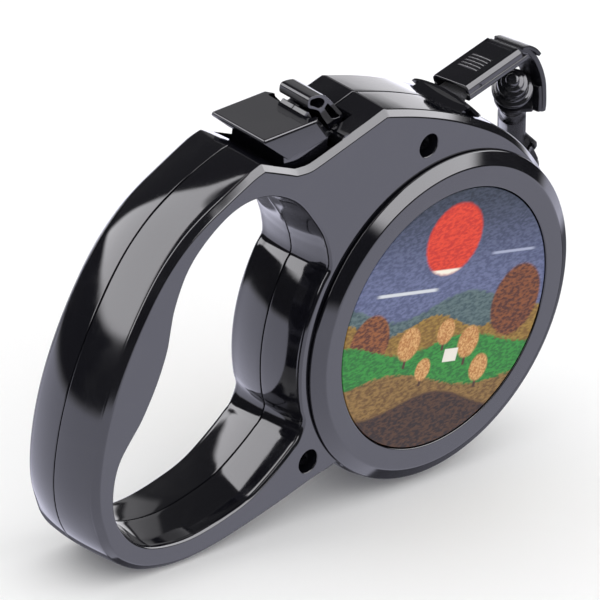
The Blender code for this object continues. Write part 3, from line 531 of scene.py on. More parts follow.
def cavity_cutter(name, side):
    """The hollow inside a shell: the outline less its wall, with the hand hole's wall left standing."""
    outline, _ = casing_outline()
    outer = offset(drawn_in(outline, 1.0), -WALL)
    hollow = loft(name, [sided(outer, side, y) for y in (-2.0, CAVITY_HALF_WIDTH)])
    island = offset(hole_outline(), WALL - 0.6)
    keep = loft(name + "_keep", [sided(island, side, y) for y in (-3.0, HALF_WIDTH)])
    return cut(hollow, keep)


def span(side, near, far):
    return tuple(sorted((side * near, side * far)))


def supports(name, side):
    """Screw bosses, the shelf under the brake spring and the block that holds the lever's pin."""
    bosses = [pin_between(f"{name}_boss_{k}", x, z, BOSS_RADIUS, *span(side, SEAM_HALF_GAP, HALF_WIDTH - 1))
              for k, (x, z) in enumerate(CASE_SCREWS)]
    y0, y1 = span(side, SEAM_HALF_GAP, CAVITY_HALF_WIDTH + 0.5)
    shelf = slab(name + "_shelf", (BRAKE_SPRING_X - 6.0, y0, BRAKE_SPRING_Z[0] - 4.4),
                 (BRAKE_SPRING_X + 4.2, y1, BRAKE_SPRING_Z[0] - GAP))
    y0, y1 = span(side, LEVER_SLOT_HALF_WIDTH, CAVITY_HALF_WIDTH + 0.5)
    x, z = LEVER_PIVOT
    block = slab(name + "_pin_block", (x - 3.6, y0, z - 4.6), (x + 4.0, y1, z + 1.8))
    return bosses + [shelf, block]


def counterbore_cutter(name, x, z, floor_y, end_y):
    """A screw's pocket with a rounded mouth, and the bore for its shank below."""
    r, face = COUNTERBORE_RADIUS, HALF_WIDTH
    profile = [(r + 0.35, -face - 1), (r + 0.35, -face), (r + 0.12, -face + 0.12), (r, -face + 0.35),
               (r, -floor_y), (SHANK_BORE_RADIUS, -floor_y), (SHANK_BORE_RADIUS, end_y)]
    return turned_solid(name, profile, 64, CASING @ Matrix.Translation((x, 0, z)))


def openings(name, side):
    pocket = side_prism(name + "_pocket", BUTTON_POCKET, -POCKET_HALF_WIDTH, POCKET_HALF_WIDTH)
    slot = slab(name + "_slot", (LEVER_SLOT_X[0], -LEVER_SLOT_HALF_WIDTH, 60.0),
                (LEVER_SLOT_X[1], LEVER_SLOT_HALF_WIDTH, 80.0))
    pin_bore = pin_between(name + "_pin_bore", *LEVER_PIVOT, LEVER_PIN_BORE_RADIUS, *span(side, -1, 10.6))
    cutters = [pocket, slot, pin_bore]
    for k, (x, z) in enumerate(CASE_SCREWS):
        if side < 0:
            cutters.append(counterbore_cutter(f"{name}_screw_{k}", x, z, COUNTERBORE_FLOOR_Y, 1))
        else:
            cutters.append(pin_between(f"{name}_screw_{k}", x, z, SHANK_BORE_RADIUS, -1, 9.0))
    if side < 0:
        cutters.append(counterbore_cutter(name + "_axle_screw", 0, 0, AXLE_SCREW_FLOOR_Y, -11))
    cutters.append(lens(name + "_outlet", NOZZLE_HALF_WIDTH + 1.2, NOZZLE_HALF_HEIGHT + GAP, -1.1, 9.0))
    half, h = SLEEVE_HALF_WIDTH + GAP, SLEEVE_HALF_HEIGHT + GAP
    cutters.append(slab(name + "_throat", (-7.0, -half, -h), (0.5, half, h), OUTLET_PLACE))
    return cutters


def shell(name, side, look):
    body = shell_block(name + "_skin", side)
    cut(body, cavity_cutter(name + "_cavity", side))
    join(body, *supports(name, side))
    cut(body, hand_hole_cutter(name + "_hand_hole", side), *openings(name, side))
    smooth(body, 35)
    return place_piece(body, "casing", look, name)


def rounded_profile(points, radius):
    """A closed profile whose corners are rounded by short curves."""
    out = []
    count = len(points)
    steps = 4
    for k in range(count):
        before, here, after = (Vector(points[(k + d) % count]) for d in (-1, 0, 1))
        reach = min(radius, (before - here).length * 0.45, (after - here).length * 0.45)
        a = here + (before - here).normalized() * reach
        b = here + (after - here).normalized() * reach
        for i in range(steps + 1):
            t = i / steps
            out.append(tuple(a * (1 - t) ** 2 + here * 2 * t * (1 - t) + b * t * t))
    return out


def cover_ring(name, side, look):
    base = HALF_WIDTH + GAP
    profile = [(RING_BORE_RADIUS, base), (RING_BASE_RADIUS, base), (RING_BASE_RADIUS, RING_STEP_Y),
               (RING_FLAT_RADIUS, RING_FACE_Y), (RING_SEAT_RADIUS, RING_FACE_Y),
               (RING_SEAT_RADIUS, RING_SEAT_Y), (RING_BORE_RADIUS, RING_SEAT_Y)]
    rounded = rounded_profile([(r, side * y) for r, y in profile], 0.4)
    ring = smooth(turned(name + "_moulding", rounded), 40)
    return place_piece(ring, "casing", look, name)


def print_disc(name, side, look):
    low, high = PRINT_Y
    profile = [(PRINT_RADIUS, low), (PRINT_RADIUS, high - 0.3), (PRINT_RADIUS - 0.09, high - 0.09),
               (PRINT_RADIUS - 0.3, high), (PRINT_RADIUS * 0.5, high)]
    disc = turned_solid(name + "_sheet", [(r, side * y) for r, y in profile], DISC_STEPS)
    return place_piece(smooth(disc, 50), "casing", look, name)


# ---- brake and lock


def cad_copy(name, node):
    """A welded copy of a CAD node's mesh, to be refined and shown in the node's place."""
    bm = bmesh.new()
    bm.from_mesh(frame["nodes"][node].data)
    bmesh.ops.remove_doubles(bm, verts=bm.verts, dist=2e-6)
    bmesh.ops.dissolve_limit(bm, angle_limit=math.radians(0.5), verts=bm.verts, edges=bm.edges)
    return mesh_object(name, bm)


def button_cap():
    """The wedge: it leans out over the loop to a thin upright rim, and its sides flare towards the shells."""
    low = [(-66.0, -12.0, 66.3), (-50.7, -12.0, 68.9), (-45.8, -8.6, 67.4)]
    rim = [(-75.2, -10.7, 73.2), (-54.45, -10.7, 74.0), (-52.4, -8.7, 73.6)]
    high = [(-75.1, -10.45, 74.3), (-54.5, -10.45, 75.0), (-52.6, -8.6, 74.6)]
    rings = [ring + [(x, -y, z) for x, y, z in ring[::-1]] for ring in (low, rim, high)]
    return round_edges(loft("brake_button_cap", rings), 0.5, 4, 25)


def button(look):
    """The cap on its skirt, with the lever's recess cut down its front and two small stops in the recess."""
    body = button_cap()
    skirt = side_prism("skirt", BUTTON_SKIRT, -BUTTON_SKIRT_HALF_WIDTH, BUTTON_SKIRT_HALF_WIDTH)
    join(body, round_edges(skirt, 0.4))
    recess = side_prism("recess", BUTTON_RECESS, -RECESS_HALF_WIDTH, RECESS_HALF_WIDTH)
    cut(body, round_edges(recess, 0.5, 4, 15))
    stops = [side_prism(f"stop_{k}", STOP_SECTION, *across) for k, across in enumerate(STOP_SPANS)]
    join(body, *[round_edges(stop, 0.12, 2) for stop in stops])
    return place_piece(smooth(body, 35), "brake", look, "brake_button")


def lever_outline():
    x, z = LEVER_PIVOT
    hub = [(x + LEVER_HUB_RADIUS * math.cos(a), z + LEVER_HUB_RADIUS * math.sin(a))
           for a in np.radians(np.linspace(-150, 55, 24))]
    return hub + smooth_run(LEVER_OUTER, 4)


def lever(look):
    """A hollow rounded bar on two thin legs that spread down to the hub on the pivot pin."""
    half = LEVER_HALF_WIDTH
    body = side_prism("lock_lever_bar", lever_outline(), -half, half)
    loop = side_prism("loop", smooth_run(LEVER_LOOP + LEVER_LOOP[:1], 4)[:-1], -half - 1, half + 1)
    legs = side_prism("legs", LEVER_LEG_GAP, -half - 1, half + 1)
    bore = pin_between("bore", *LEVER_PIVOT, LEVER_PIN_BORE_RADIUS, -8, 8)
    cut(body, loop, legs, bore)
    round_edges(body, 0.22, 3, 40)
    return place_piece(smooth(body, 40), "lock", look, "lock_lever")


def brake_spring(look):
    """A round-wire compression spring about Z under the button; it rides with the casing at its free length.
    """
    low, high = BRAKE_SPRING_Z
    free = high - low
    wire = BRAKE_SPRING_WIRE
    steps = int(BRAKE_SPRING_TURNS * 36)
    rings = []
    for k in range(steps + 1):
        angle = 2 * math.pi * BRAKE_SPRING_TURNS * k / steps
        height = low + wire + (free - 2 * wire) * k / steps
        ring = []
        for turn in whole_turn(12):
            r = BRAKE_SPRING_RADIUS + wire * math.cos(turn)
            ring.append((r * math.cos(angle), r * math.sin(angle), height + wire * math.sin(turn)))
        rings.append(ring)
    coil = loft("brake_spring_coil", rings, CASING @ Matrix.Translation((BRAKE_SPRING_X, 0, 0)))
    spring = place_piece(smooth(coil, 50), "casing", look, "brake_spring")
    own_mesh(spring)


# ---- outlet and tape end


def lens(name, half_width, half_height, x0, x1):
    """A long oval with narrow ends, extruded along the tape."""
    across = half_width * np.cos(np.linspace(0, math.pi, 49))
    top = [(a, half_height * max(1 - (a / half_width) ** 2, 0.0) ** 0.9) for a in across][:-1]
    outline = top + [(-a, -h) for a, h in top]
    return loft(name, [[(x, a, h) for a, h in outline] for x in (x0, x1)], OUTLET_PLACE)


def nozzle(look):
    """The oval flange, its sleeve into the casing and the tape's mouth through both."""
    body = lens("tape_nozzle_lens", NOZZLE_HALF_WIDTH, NOZZLE_HALF_HEIGHT, -NOZZLE_FLANGE, NOZZLE_FLANGE)
    half, h = SLEEVE_HALF_WIDTH, SLEEVE_HALF_HEIGHT
    join(body, slab("nozzle_sleeve", (-3.6, -half, -h), (0.0, half, h), OUTLET_PLACE))
    cut(body, slab("nozzle_mouth", (-6.0, -8.2, -0.9), (4.0, 8.2, 0.9), OUTLET_PLACE))
    round_edges(body, 0.3)
    return place_piece(smooth(body, 40), "casing", look, "tape_nozzle")


def clamp_half(name, side, node, look):
    """Half of the block: bevelled edges, hollow for the tape, notched in front for the stirrup's barrel."""
    w, b = BLOCK_HALF_WIDTH, BLOCK_BEVEL
    h = BLOCK_HALF_HEIGHT if side > 0 else BASE_HALF_HEIGHT
    section = [(-w, side * 0.04), (w, side * 0.04), (w, side * (h - b)), (w - b, side * h),
               (-w + b, side * h), (-w, side * (h - b))]
    front = BLOCK_LENGTH if side < 0 else TOP_PLATE_LENGTH
    body = loft(name, [[(x, y, z) for y, z in section] for x in (0.0, front)], BLOCK)
    round_edges(body, 0.3)
    cut(body, *block_cutters(side, h))
    if side > 0:
        join(body, *[grip_rib(k) for k in range(GRIP_RIBS)])
    return place_piece(smooth(body, 35), "tape_end", look, node)


def block_cutters(side, height):
    """The tape's tunnel, the fork round the stirrup's barrel, and the bores of the pin and the rivet."""
    half = BLOCK_HALF_WIDTH - 1.2
    z0, z1 = span(side, 0, height - 0.9)
    tunnel = slab("tunnel", (-1.0, -half, z0), (TUNNEL_LENGTH, half, z1), BLOCK)
    half = STIRRUP_HALF_WIDTH + GAP
    fork = slab("fork", (STIRRUP_PIN_X, -half, -9.0), (BLOCK_LENGTH + 2, half, 9.0), BLOCK)
    knuckle = pin_between("knuckle", STIRRUP_PIN_X, 0.0, KNUCKLE_RADIUS + GAP, -half, half, BLOCK, 64)
    pin = pin_between("pin_bore", STIRRUP_PIN_X, 0.0, STIRRUP_BORE_RADIUS, -6.6, 6.6, BLOCK)
    reach = BLOCK_HALF_WIDTH + 1
    rivet = pin_between("rivet_bore", *CLAMP_RIVET, RIVET_RADIUS + 0.1, -reach, reach, BLOCK)
    return tunnel, fork, knuckle, pin, rivet


def grip_rib(k):
    """One of the low ribs across the block's top: a flattened half round with tapering ends."""
    x = GRIP_RIB_START + k * GRIP_RIB_PITCH
    rings = []
    for y in np.linspace(-GRIP_RIB_HALF, GRIP_RIB_HALF, 13):
        swell = max(1 - (y / GRIP_RIB_HALF) ** 4, 0.02)
        ring = []
        for a in whole_turn(12):
            ring.append((x + 0.38 * math.cos(a), y, BLOCK_HALF_HEIGHT - 0.1 + 0.45 * swell * math.sin(a)))
        rings.append(ring)
    return loft(f"grip_rib_{k}", rings, BLOCK)


def clamp_pins(look, rivet_look):
    """The small rivet across the block, and the pin that the stirrup swings on."""
    w = BLOCK_HALF_WIDTH
    rivet = pin_between("clamp_rivet_shank", *CLAMP_RIVET, RIVET_RADIUS, -w + 0.25, w - 0.25, BLOCK, 32)
    place_piece(smooth(round_edges(rivet, 0.1)), "tape_end", rivet_look, "clamp_rivet")
    pin = pin_between("stirrup_pin_rod", STIRRUP_PIN_X, 0.0, STIRRUP_PIN_RADIUS, -6.3, 6.3, BLOCK, 32)
    place_piece(smooth(round_edges(pin, 0.15)), "tape_end", look, "stirrup_pin")


def tangent_at(path, k):
    before = Vector(path[max(k - 1, 0)])
    after = Vector(path[min(k + 1, len(path) - 1)])
    return (after - before).normalized()


def swept_strap(name, path, widths, thickness):
    """A flat strap along a curved path in the block's XZ plane, with its half width given along it."""
    fine = smooth_run(path, 6)
    fine_widths = np.interp(np.linspace(0, len(path) - 1, len(fine)), range(len(path)), widths)
    rings = []
    for k, ((x, z), half) in enumerate(zip(fine, fine_widths)):
        tangent = tangent_at(fine, k)
        normal = Vector((-tangent.y, tangent.x)) * (thickness / 2)
        rings.append([(x - normal.x, -half, z - normal.y), (x + normal.x, -half, z + normal.y),
                      (x + normal.x, half, z + normal.y), (x - normal.x, half, z - normal.y)])
    return round_edges(loft(name, rings, BLOCK), thickness * 0.16, 3, 50)


def collar_plate(name):
    """A round collar about the neck with a tongue out to the arch, in the snap's frame."""
    foot = SNAP.inverted() @ (BLOCK @ Vector((STIRRUP_ARCH[-1][0] + 0.4, 0.0, STIRRUP_ARCH[-1][1] + 2.4)))
    bearing = math.atan2(foot.y, foot.x)
    reach = math.hypot(foot.x, foot.y)
    collar = [(COLLAR_RADIUS * math.cos(a + bearing), COLLAR_RADIUS * math.sin(a + bearing))
              for a in np.radians(np.linspace(50, 310, 48))]
    half = COLLAR_RADIUS * math.sin(math.radians(50)) * 0.8
    aside = Vector((-math.sin(bearing), math.cos(bearing))) * half
    tip = Vector((math.cos(bearing), math.sin(bearing))) * reach
    outline = collar + [tuple(tip - aside), tuple(tip + aside)]
    plate = loft(name, [[(x, y, -depth) for x, y in outline] for depth in COLLAR_DEPTH], SNAP)
    return round_edges(plate, 0.5, 4, 50)


def stirrup(look):
    """A barrel on the pin, an arch over the swivel ball with a hood on its shoulder, and a collar below."""
    half = STIRRUP_HALF_WIDTH
    body = pin_between("swivel_stirrup_arch", STIRRUP_PIN_X, 0.0, KNUCKLE_RADIUS, -half, half, BLOCK, 64)
    count = len(STIRRUP_ARCH)
    widths = [(half - 0.15) * (1 - 0.4 * (k / (count - 1)) ** 1.3) for k in range(count)]
    arch = swept_strap("arch", STIRRUP_ARCH, widths, STIRRUP_THICKNESS)
    foot = swept_strap("foot", STIRRUP_FOOT, [3.9, 3.7, 3.4, 3.2], 2.6)
    hood = swept_strap("hood", STIRRUP_HOOD, [half + 0.5] * len(STIRRUP_HOOD), 1.1)
    join(body, arch, foot, hood, collar_plate("collar"))
    neck = turned_solid("neck_hole", [(NECK_RADIUS + GAP, -12), (NECK_RADIUS + GAP, -6)], 48, SNAP, "Z")
    cut(body, neck, pin_between("stirrup_bore", STIRRUP_PIN_X, 0.0, STIRRUP_BORE_RADIUS, -9, 9, BLOCK))
    return place_piece(smooth(body, 40), "stirrup", look, "swivel_stirrup")


def swivel_head():
    """(radius, height) up the snap's axis: barrel, ringed neck, ridged ball and a stepped crown on top."""
    profile = [(2.6, -BARREL_DEPTH[1] - 1.5), (BARREL_RADIUS - 0.2, -BARREL_DEPTH[1] - 0.3)]
    profile += [(BARREL_RADIUS, -BARREL_DEPTH[1]), (BARREL_RADIUS, -BARREL_DEPTH[0] - 1.0)]
    profile += [(NECK_RADIUS, -BARREL_DEPTH[0])]
    for depth in NECK_RING_DEPTHS:
        profile += [(NECK_RADIUS, -depth), (NECK_RING_RADIUS, -depth + 0.25)]
        profile += [(NECK_RING_RADIUS, -depth + 0.75), (NECK_RADIUS, -depth + 1.0)]
    return profile + [(NECK_RADIUS, -5.6)] + HEAD_STEPS


def claw():
    """A round bar that leaves the barrel's end, swings round the claw circle and ends at the mouth."""
    path = [(0.0, -39.0), (-1.4, -43.0), (-3.2, -47.2)]
    path += [(CLAW_RADIUS * math.cos(a), -CLAW_DEPTH + CLAW_RADIUS * math.sin(a))
             for a in np.radians(np.linspace(128, 368, 22))]
    fine = smooth_run(path, 3)
    rings = []
    for k, (x, z) in enumerate(fine):
        radius = CLAW_WIRE_RADIUS * (1 - 0.12 * k / len(fine))
        tangent = tangent_at(fine, k)
        across_x, across_z = tangent.y * radius, tangent.x * radius
        rings.append([(x + across_x * math.cos(a), radius * math.sin(a), z - across_z * math.cos(a))
                      for a in whole_turn(28)])
    return round_edges(loft("claw", rings, SNAP), 0.5, 3, 50)


def snap_hook(look):
    """Swivel ball, neck, barrel and claw in one, with a slotted knuckle for the gate."""
    body = turned_solid("snap_hook_claw", swivel_head(), 96, SNAP, "Z")
    x, d = GATE_PIVOT
    knuckle = [(-2.5, -40.0), (2.5, -40.0), (x + 2.2, -d + 1.6), (x + 2.2, -d - 1.6), (x, -d - 2.3),
               (-1.0, -47.0)]
    join(body, claw(), round_edges(side_prism("knuckle", knuckle, -3.0, 3.0, SNAP), 0.5, 3, 20))
    slot = slab("gate_slot", (x - 3.4, -1.5, -49.6), (x + 4.4, 1.5, -42.6), SNAP)
    cut(body, slot, pin_between("gate_bore", x, -d, GATE_BORE_RADIUS, -6, 6, SNAP))
    place_piece(smooth(body, 40), "snap", look, "snap_hook_body")
    pin = pin_between("snap_gate_pin_rod", x, -d, GATE_PIN_RADIUS, -3.4, 3.4, SNAP, 32)
    place_piece(smooth(round_edges(pin, 0.2)), "snap", look, "snap_gate_pin")
    gate = cad_copy("snap_gate_finger", "snap_gate")
    place_piece(smooth(round_edges(gate, 0.25), 40), "gate", look, "snap_gate")


def tape_section():
    """The outline of the tape cut across: lengthwise ribs above and below, and rounded edges."""
    half = TAPE_WIDTH / 2
    top = []
    for a in np.linspace(-half, half, TAPE_RIBS * 6 + 1):
        edge = math.sqrt(max(1 - (a / half) ** 12, 0.0))
        rib = 0.93 + 0.07 * math.cos(2 * math.pi * TAPE_RIBS * (a + half) / (2 * half))
        top.append((a, TAPE_THICKNESS / 2 * edge * rib))
    return top + [(a, -h) for a, h in top[::-1]][1:-1]


def tape_run(look):
    """The stretch from guide pin to clamp: level behind the outlet, rolled with the block in front."""
    section = tape_section()
    outlet = Vector((OUTLET[0], MID_Y, OUTLET[1]))
    end = BLOCK @ Vector((BLOCK_TAPE_END, 0, BLOCK_TAPE_HEIGHT))
    entry = BLOCK @ Vector((-0.4, 0, BLOCK_TAPE_HEIGHT))
    stations = []
    for t in np.linspace(-6.0, 0.9, 12):
        stations.append((outlet + TAPE_ALONG * t, LEVEL_ACROSS, LEVEL_UP))
    for t in np.linspace(0.15, 1.0, 6):
        middle = (outlet + TAPE_ALONG * 0.9).lerp(entry, t)
        stations.append((middle, LEVEL_ACROSS.lerp(BLOCK_ACROSS, t), LEVEL_UP.lerp(BLOCK_UP, t)))
    stations.append((end, BLOCK_ACROSS, BLOCK_UP))
    rings = [[middle + across * a + up * h for a, h in section] for middle, across, up in stations]
    body = smooth(loft("tape_run_webbing", rings, Matrix.Identity(4)), 60)
    body.data.materials.append(look)
    bake(body)
    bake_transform(body)
    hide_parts("tape_run")
    return body


# ---- materials


class Nodes:
    """A node tree and short ways to add to it. A value is a number, a tuple or another node's socket."""

    def __init__(self, tree, coordinates):
        self.tree = tree
        self.coordinates = self.node("ShaderNodeTexCoord").outputs[coordinates]

    def node(self, kind):
        return self.tree.nodes.new(kind)

    def feed(self, value, socket):
        if hasattr(value, "is_linked"):
            self.tree.links.new(value, socket)
        else:
            socket.default_value = value

    def math(self, operation, a, b=0.0):
        node = self.node("ShaderNodeMath")
        node.operation = operation
        self.feed(a, node.inputs[0])
        self.feed(b, node.inputs[1])
        return node.outputs[0]

    def add(self, a, b):
        return self.math("ADD", a, b)

    def subtract(self, a, b):
        return self.math("SUBTRACT", a, b)

    def multiply(self, a, b):
        return self.math("MULTIPLY", a, b)

    def axes(self):
        node = self.node("ShaderNodeSeparateXYZ")
        self.feed(self.coordinates, node.inputs[0])
        return tuple(node.outputs)

    def within(self, value, low, high, feather):
        """1 between low and high, 0 outside, with soft steps as wide as feather."""
        rise = self.remap(value, low - feather / 2, low + feather / 2)
        fall = self.remap(value, high - feather / 2, high + feather / 2, 1.0, 0.0)
        return self.multiply(rise, fall)

    def noise(self, scale, detail=3.0, vector=None, distortion=0.0):
        node = self.node("ShaderNodeTexNoise")
        node.inputs["Scale"].default_value = scale
        node.inputs["Detail"].default_value = detail
        node.inputs["Distortion"].default_value = distortion
        self.feed(vector or self.coordinates, node.inputs["Vector"])
        return node.outputs[0]

    def stretched(self, scale):
        node = self.node("ShaderNodeMapping")
        node.inputs["Scale"].default_value = scale
        self.feed(self.coordinates, node.inputs["Vector"])
        return node.outputs[0]

    def remap(self, value, low, high, to_low=0.0, to_high=1.0):
        node = self.node("ShaderNodeMapRange")
        node.interpolation_type = "SMOOTHSTEP"
        self.feed(value, node.inputs["Value"])
        for name, number in zip(("From Min", "From Max", "To Min", "To Max"), (low, high, to_low, to_high)):
            self.feed(number, node.inputs[name])
        return node.outputs["Result"]

    def blend(self, factor, a, b):
        node = self.node("ShaderNodeMix")
        node.data_type = "RGBA"
        self.feed(factor, node.inputs["Factor"])
        self.feed(a if hasattr(a, "is_linked") else (*a, 1.0), node.inputs["A"])
        self.feed(b if hasattr(b, "is_linked") else (*b, 1.0), node.inputs["B"])
        return node.outputs["Result"]


class Look(Nodes):
    """A Principled material."""

    def __init__(self, name, colour, roughness, metallic=0.0, ior=1.5):
        self.material = bpy.data.materials.new(name)
        self.material.use_nodes = True
        super().__init__(self.material.node_tree, "Object")
        self.shader = self.tree.nodes["Principled BSDF"]
        self.set("Base Color", (*colour, 1.0))
        self.set("Roughness", roughness)
        self.set("Metallic", metallic)
        self.set("IOR", ior)

    def set(self, name, value):
        self.feed(value, self.shader.inputs[name])

    def bump(self, height, distance, strength=1.0):
        node = self.node("ShaderNodeBump")
        node.inputs["Distance"].default_value = distance * MM
        node.inputs["Strength"].default_value = strength
        self.feed(height, node.inputs["Height"])
        self.set("Normal", node.outputs["Normal"])


def gloss_plastic():
    """Polished black ABS: faint moulding waviness, and fingermarks that dull the polish in patches."""
    clean = (0.004, 0.004, 0.006)
    look = Look("gloss_black_plastic", clean, 0.08, ior=1.6)
    smudges = look.remap(look.noise(60, 5.0, distortion=0.6), 0.5, 0.75)
    scratches = look.remap(look.noise(1.0, 2.0, look.stretched((900, 900, 60))), 0.62, 0.7)
    worn = look.add(look.multiply(smudges, 0.05), look.multiply(scratches, 0.03))
    look.set("Roughness", look.add(worn, 0.07))
    look.set("Base Color", look.blend(smudges, clean, (0.007, 0.007, 0.009)))
    look.bump(look.noise(140, 2.0), 0.004)
    return look.material


def satin_plastic():
    """Black moulding with a fine spark-eroded grain."""
    look = Look("satin_black_plastic", (0.007, 0.007, 0.009), 0.2, ior=1.55)
    patches = look.remap(look.noise(90, 4.0), 0.45, 0.7)
    look.set("Roughness", look.add(look.multiply(patches, 0.1), 0.18))
    look.set("Base Color", look.blend(patches, (0.005, 0.005, 0.007), (0.01, 0.01, 0.013)))
    look.set("Specular IOR Level", 0.32)
    look.bump(look.noise(2500, 2.0), 0.006)
    return look.material


def pale_plastic():
    """Natural acetal for the drum: off-white, slightly mottled, with flow lines."""
    look = Look("drum_plastic", (0.55, 0.55, 0.52), 0.42)
    mottle = look.noise(120, 4.0)
    look.set("Base Color", look.blend(mottle, (0.5, 0.5, 0.46), (0.6, 0.6, 0.57)))
    look.set("Roughness", look.remap(look.noise(400), 0.3, 0.7, 0.36, 0.5))
    look.bump(look.noise(1500, 2.0), 0.006)
    return look.material


def steel():
    """Plated steel with fine drawing marks."""
    look = Look("plated_steel", (0.62, 0.62, 0.63), 0.28, metallic=1.0)
    drawn = look.noise(1.0, 3.0, look.stretched((2500, 250, 2500)))
    look.set("Base Color", look.blend(look.noise(300), (0.5, 0.5, 0.52), (0.68, 0.68, 0.69)))
    look.set("Roughness", look.remap(drawn, 0.3, 0.7, 0.2, 0.38))
    look.bump(drawn, 0.003)
    return look.material


def webbing(name="tape_webbing", around=False):
    """Plain-woven black nylon tape: warp ribs along it, weft across, with a little fuzz and sheen."""
    look = Look(name, (0.02, 0.02, 0.025), 0.7)
    x, y, z = look.axes()
    if around:
        along = look.multiply(look.math("ARCTAN2", z, x), WOUND_TAPE_RADIUS * MM)
    else:
        along = look.add(look.multiply(x, TAPE_ALONG.x), look.multiply(z, TAPE_ALONG.z))
    warp = look.math("SINE", look.multiply(y, 2 * math.pi / (WARP_PITCH * MM)))
    weft = look.math("SINE", look.multiply(along, 2 * math.pi / (WEFT_PITCH * MM)))
    fuzz = look.noise(3000, 3.0)
    height = look.add(look.multiply(warp, weft), look.multiply(fuzz, 0.8))
    # Painted light and shade: the raised threads are painted lighter and the weave's hollows darker, with
    # random tone from the fuzz on top.
    weave_shade_and_fuzz = look.remap(height, -0.8, 1.6)
    look.set("Base Color", look.blend(weave_shade_and_fuzz, (0.006, 0.006, 0.008), (0.045, 0.045, 0.052)))
    look.set("Roughness", look.remap(fuzz, 0.3, 0.7, 0.55, 0.85))
    look.set("Sheen Weight", 0.12)
    look.bump(height, 0.05, 0.8)
    return look.material


def blackened_steel():
    """Black electroplate on a zinc casting, rubbed lighter in fine streaks."""
    look = Look("black_plated_metal", (0.02, 0.02, 0.023), 0.2, metallic=0.3, ior=1.7)
    rubbed = look.remap(look.noise(500, 5.0, look.stretched((1, 1, 4))), 0.56, 0.72)
    look.set("Base Color", look.blend(rubbed, (0.012, 0.012, 0.015), (0.035, 0.035, 0.04)))
    look.set("Roughness", look.remap(look.noise(250, 4.0), 0.35, 0.7, 0.12, 0.26))
    look.bump(look.noise(900, 2.0), 0.006)
    return look.material


class Print(Look):
    """A clear-coated print, drawn upright for the tilted casing: u right and v up from its centre, in mm."""

    def __init__(self, name, mirrored):
        super().__init__(name, (0.2, 0.2, 0.2), 0.3, ior=1.45)
        x, _, z = self.axes()
        sideways = self.multiply(x, -1.0 if mirrored else 1.0)
        c, s = math.cos(-PRINT_TILT), math.sin(-PRINT_TILT)
        self.u = self.multiply(self.add(self.multiply(sideways, c), self.multiply(z, s)), 1 / MM)
        self.v = self.multiply(self.add(self.multiply(sideways, -s), self.multiply(z, c)), 1 / MM)
        self.brush = self.noise(650, 5.0, self.stretched((1.0, 1.0, 2.2)))
        self.fine = self.noise(1500, 3.0)
        self.wobble = self.multiply(self.subtract(self.brush, 0.5), 3.0)

    def below(self, height, swing, period, shift):
        """1 under a wavy line."""
        wave = self.multiply(self.math("SINE", self.add(self.math("DIVIDE", self.u, period), shift)), swing)
        top = self.add(self.add(wave, height), self.wobble)
        return self.remap(self.subtract(self.v, top), -0.5, 0.5, 1.0, 0.0)

    def oval(self, u, v, u_radius, v_radius, soft=0.06):
        du = self.math("DIVIDE", self.subtract(self.u, u), u_radius)
        dv = self.math("DIVIDE", self.subtract(self.v, v), v_radius)
        reach = self.math("SQRT", self.add(self.math("POWER", du, 2.0), self.math("POWER", dv, 2.0)))
        return self.remap(self.add(reach, self.multiply(self.wobble, 0.03)), 1 - soft, 1 + soft, 1.0, 0.0)

    def patch(self, u_span, v_span, u_feather, v_feather):
        """1 inside an upright rectangle."""
        return self.multiply(self.within(self.u, *u_span, u_feather), self.within(self.v, *v_span, v_feather))

    def tones(self, dark, light):
        """Brush strokes between two colours."""
        return self.blend(self.remap(self.brush, 0.35, 0.65), dark, light)


def backdrop_layers(look):
    """A low sun with its pale lower limb, two pale bars of painted highlight and the far hills."""
    sun = look.oval(-4.0, 24.5, 11.0, 11.0)
    limb = look.remap(look.v, 14.8, 15.4, 1.0, 0.0)
    return [
        (sun, look.tones((0.5, 0.02, 0.008), (0.7, 0.05, 0.015))),
        (look.multiply(sun, limb), (0.85, 0.8, 0.68)),
        # Painted highlights: two pale bars across the sky.
        (look.patch((-30, -6), (8.6, 9.6), 3.0, 0.4), (0.6, 0.62, 0.66)),
        (look.patch((14, 31), (18.0, 18.8), 3.0, 0.4), (0.34, 0.37, 0.5)),
        (look.below(4.0, 3.5, 9.0, 0.6), look.tones((0.04, 0.075, 0.085), (0.1, 0.15, 0.15))),
    ]


def field_layers(look):
    """The near hills, the bushes at both sides, and the meadow and fields in front."""
    return [
        (look.below(-1.5, 2.5, 6.0, 2.1), look.tones((0.17, 0.085, 0.01), (0.3, 0.18, 0.03))),
        (look.oval(28.5, 3.0, 9.5, 11.0), look.tones((0.06, 0.014, 0.004), (0.22, 0.065, 0.014))),
        (look.oval(-29.0, -6.0, 8.0, 9.5), look.tones((0.08, 0.02, 0.006), (0.27, 0.09, 0.022))),
        (look.below(-8.0, 2.2, 8.0, 0.2), look.tones((0.012, 0.13, 0.02), (0.03, 0.26, 0.035))),
        (look.below(-19.0, 2.8, 11.0, 3.0), look.tones((0.12, 0.06, 0.012), (0.26, 0.15, 0.04))),
        (look.below(-26.0, 3.2, 9.0, 1.2), look.tones((0.015, 0.007, 0.004), (0.075, 0.032, 0.012))),
    ]


def tree_layers(look, u, v, size):
    """A thin trunk, and a soft crown centred on its top end."""
    trunk = look.patch((u - 0.5, u + 0.5), (v - size * 1.7, v), 0.3, 0.4)
    crown = look.oval(u, v, size, size * 1.15, 0.12)
    leaves = look.blend(look.remap(look.fine, 0.35, 0.65), (0.4, 0.16, 0.04), (0.62, 0.36, 0.14))
    return [(trunk, (0.06, 0.025, 0.01)), (crown, leaves)]


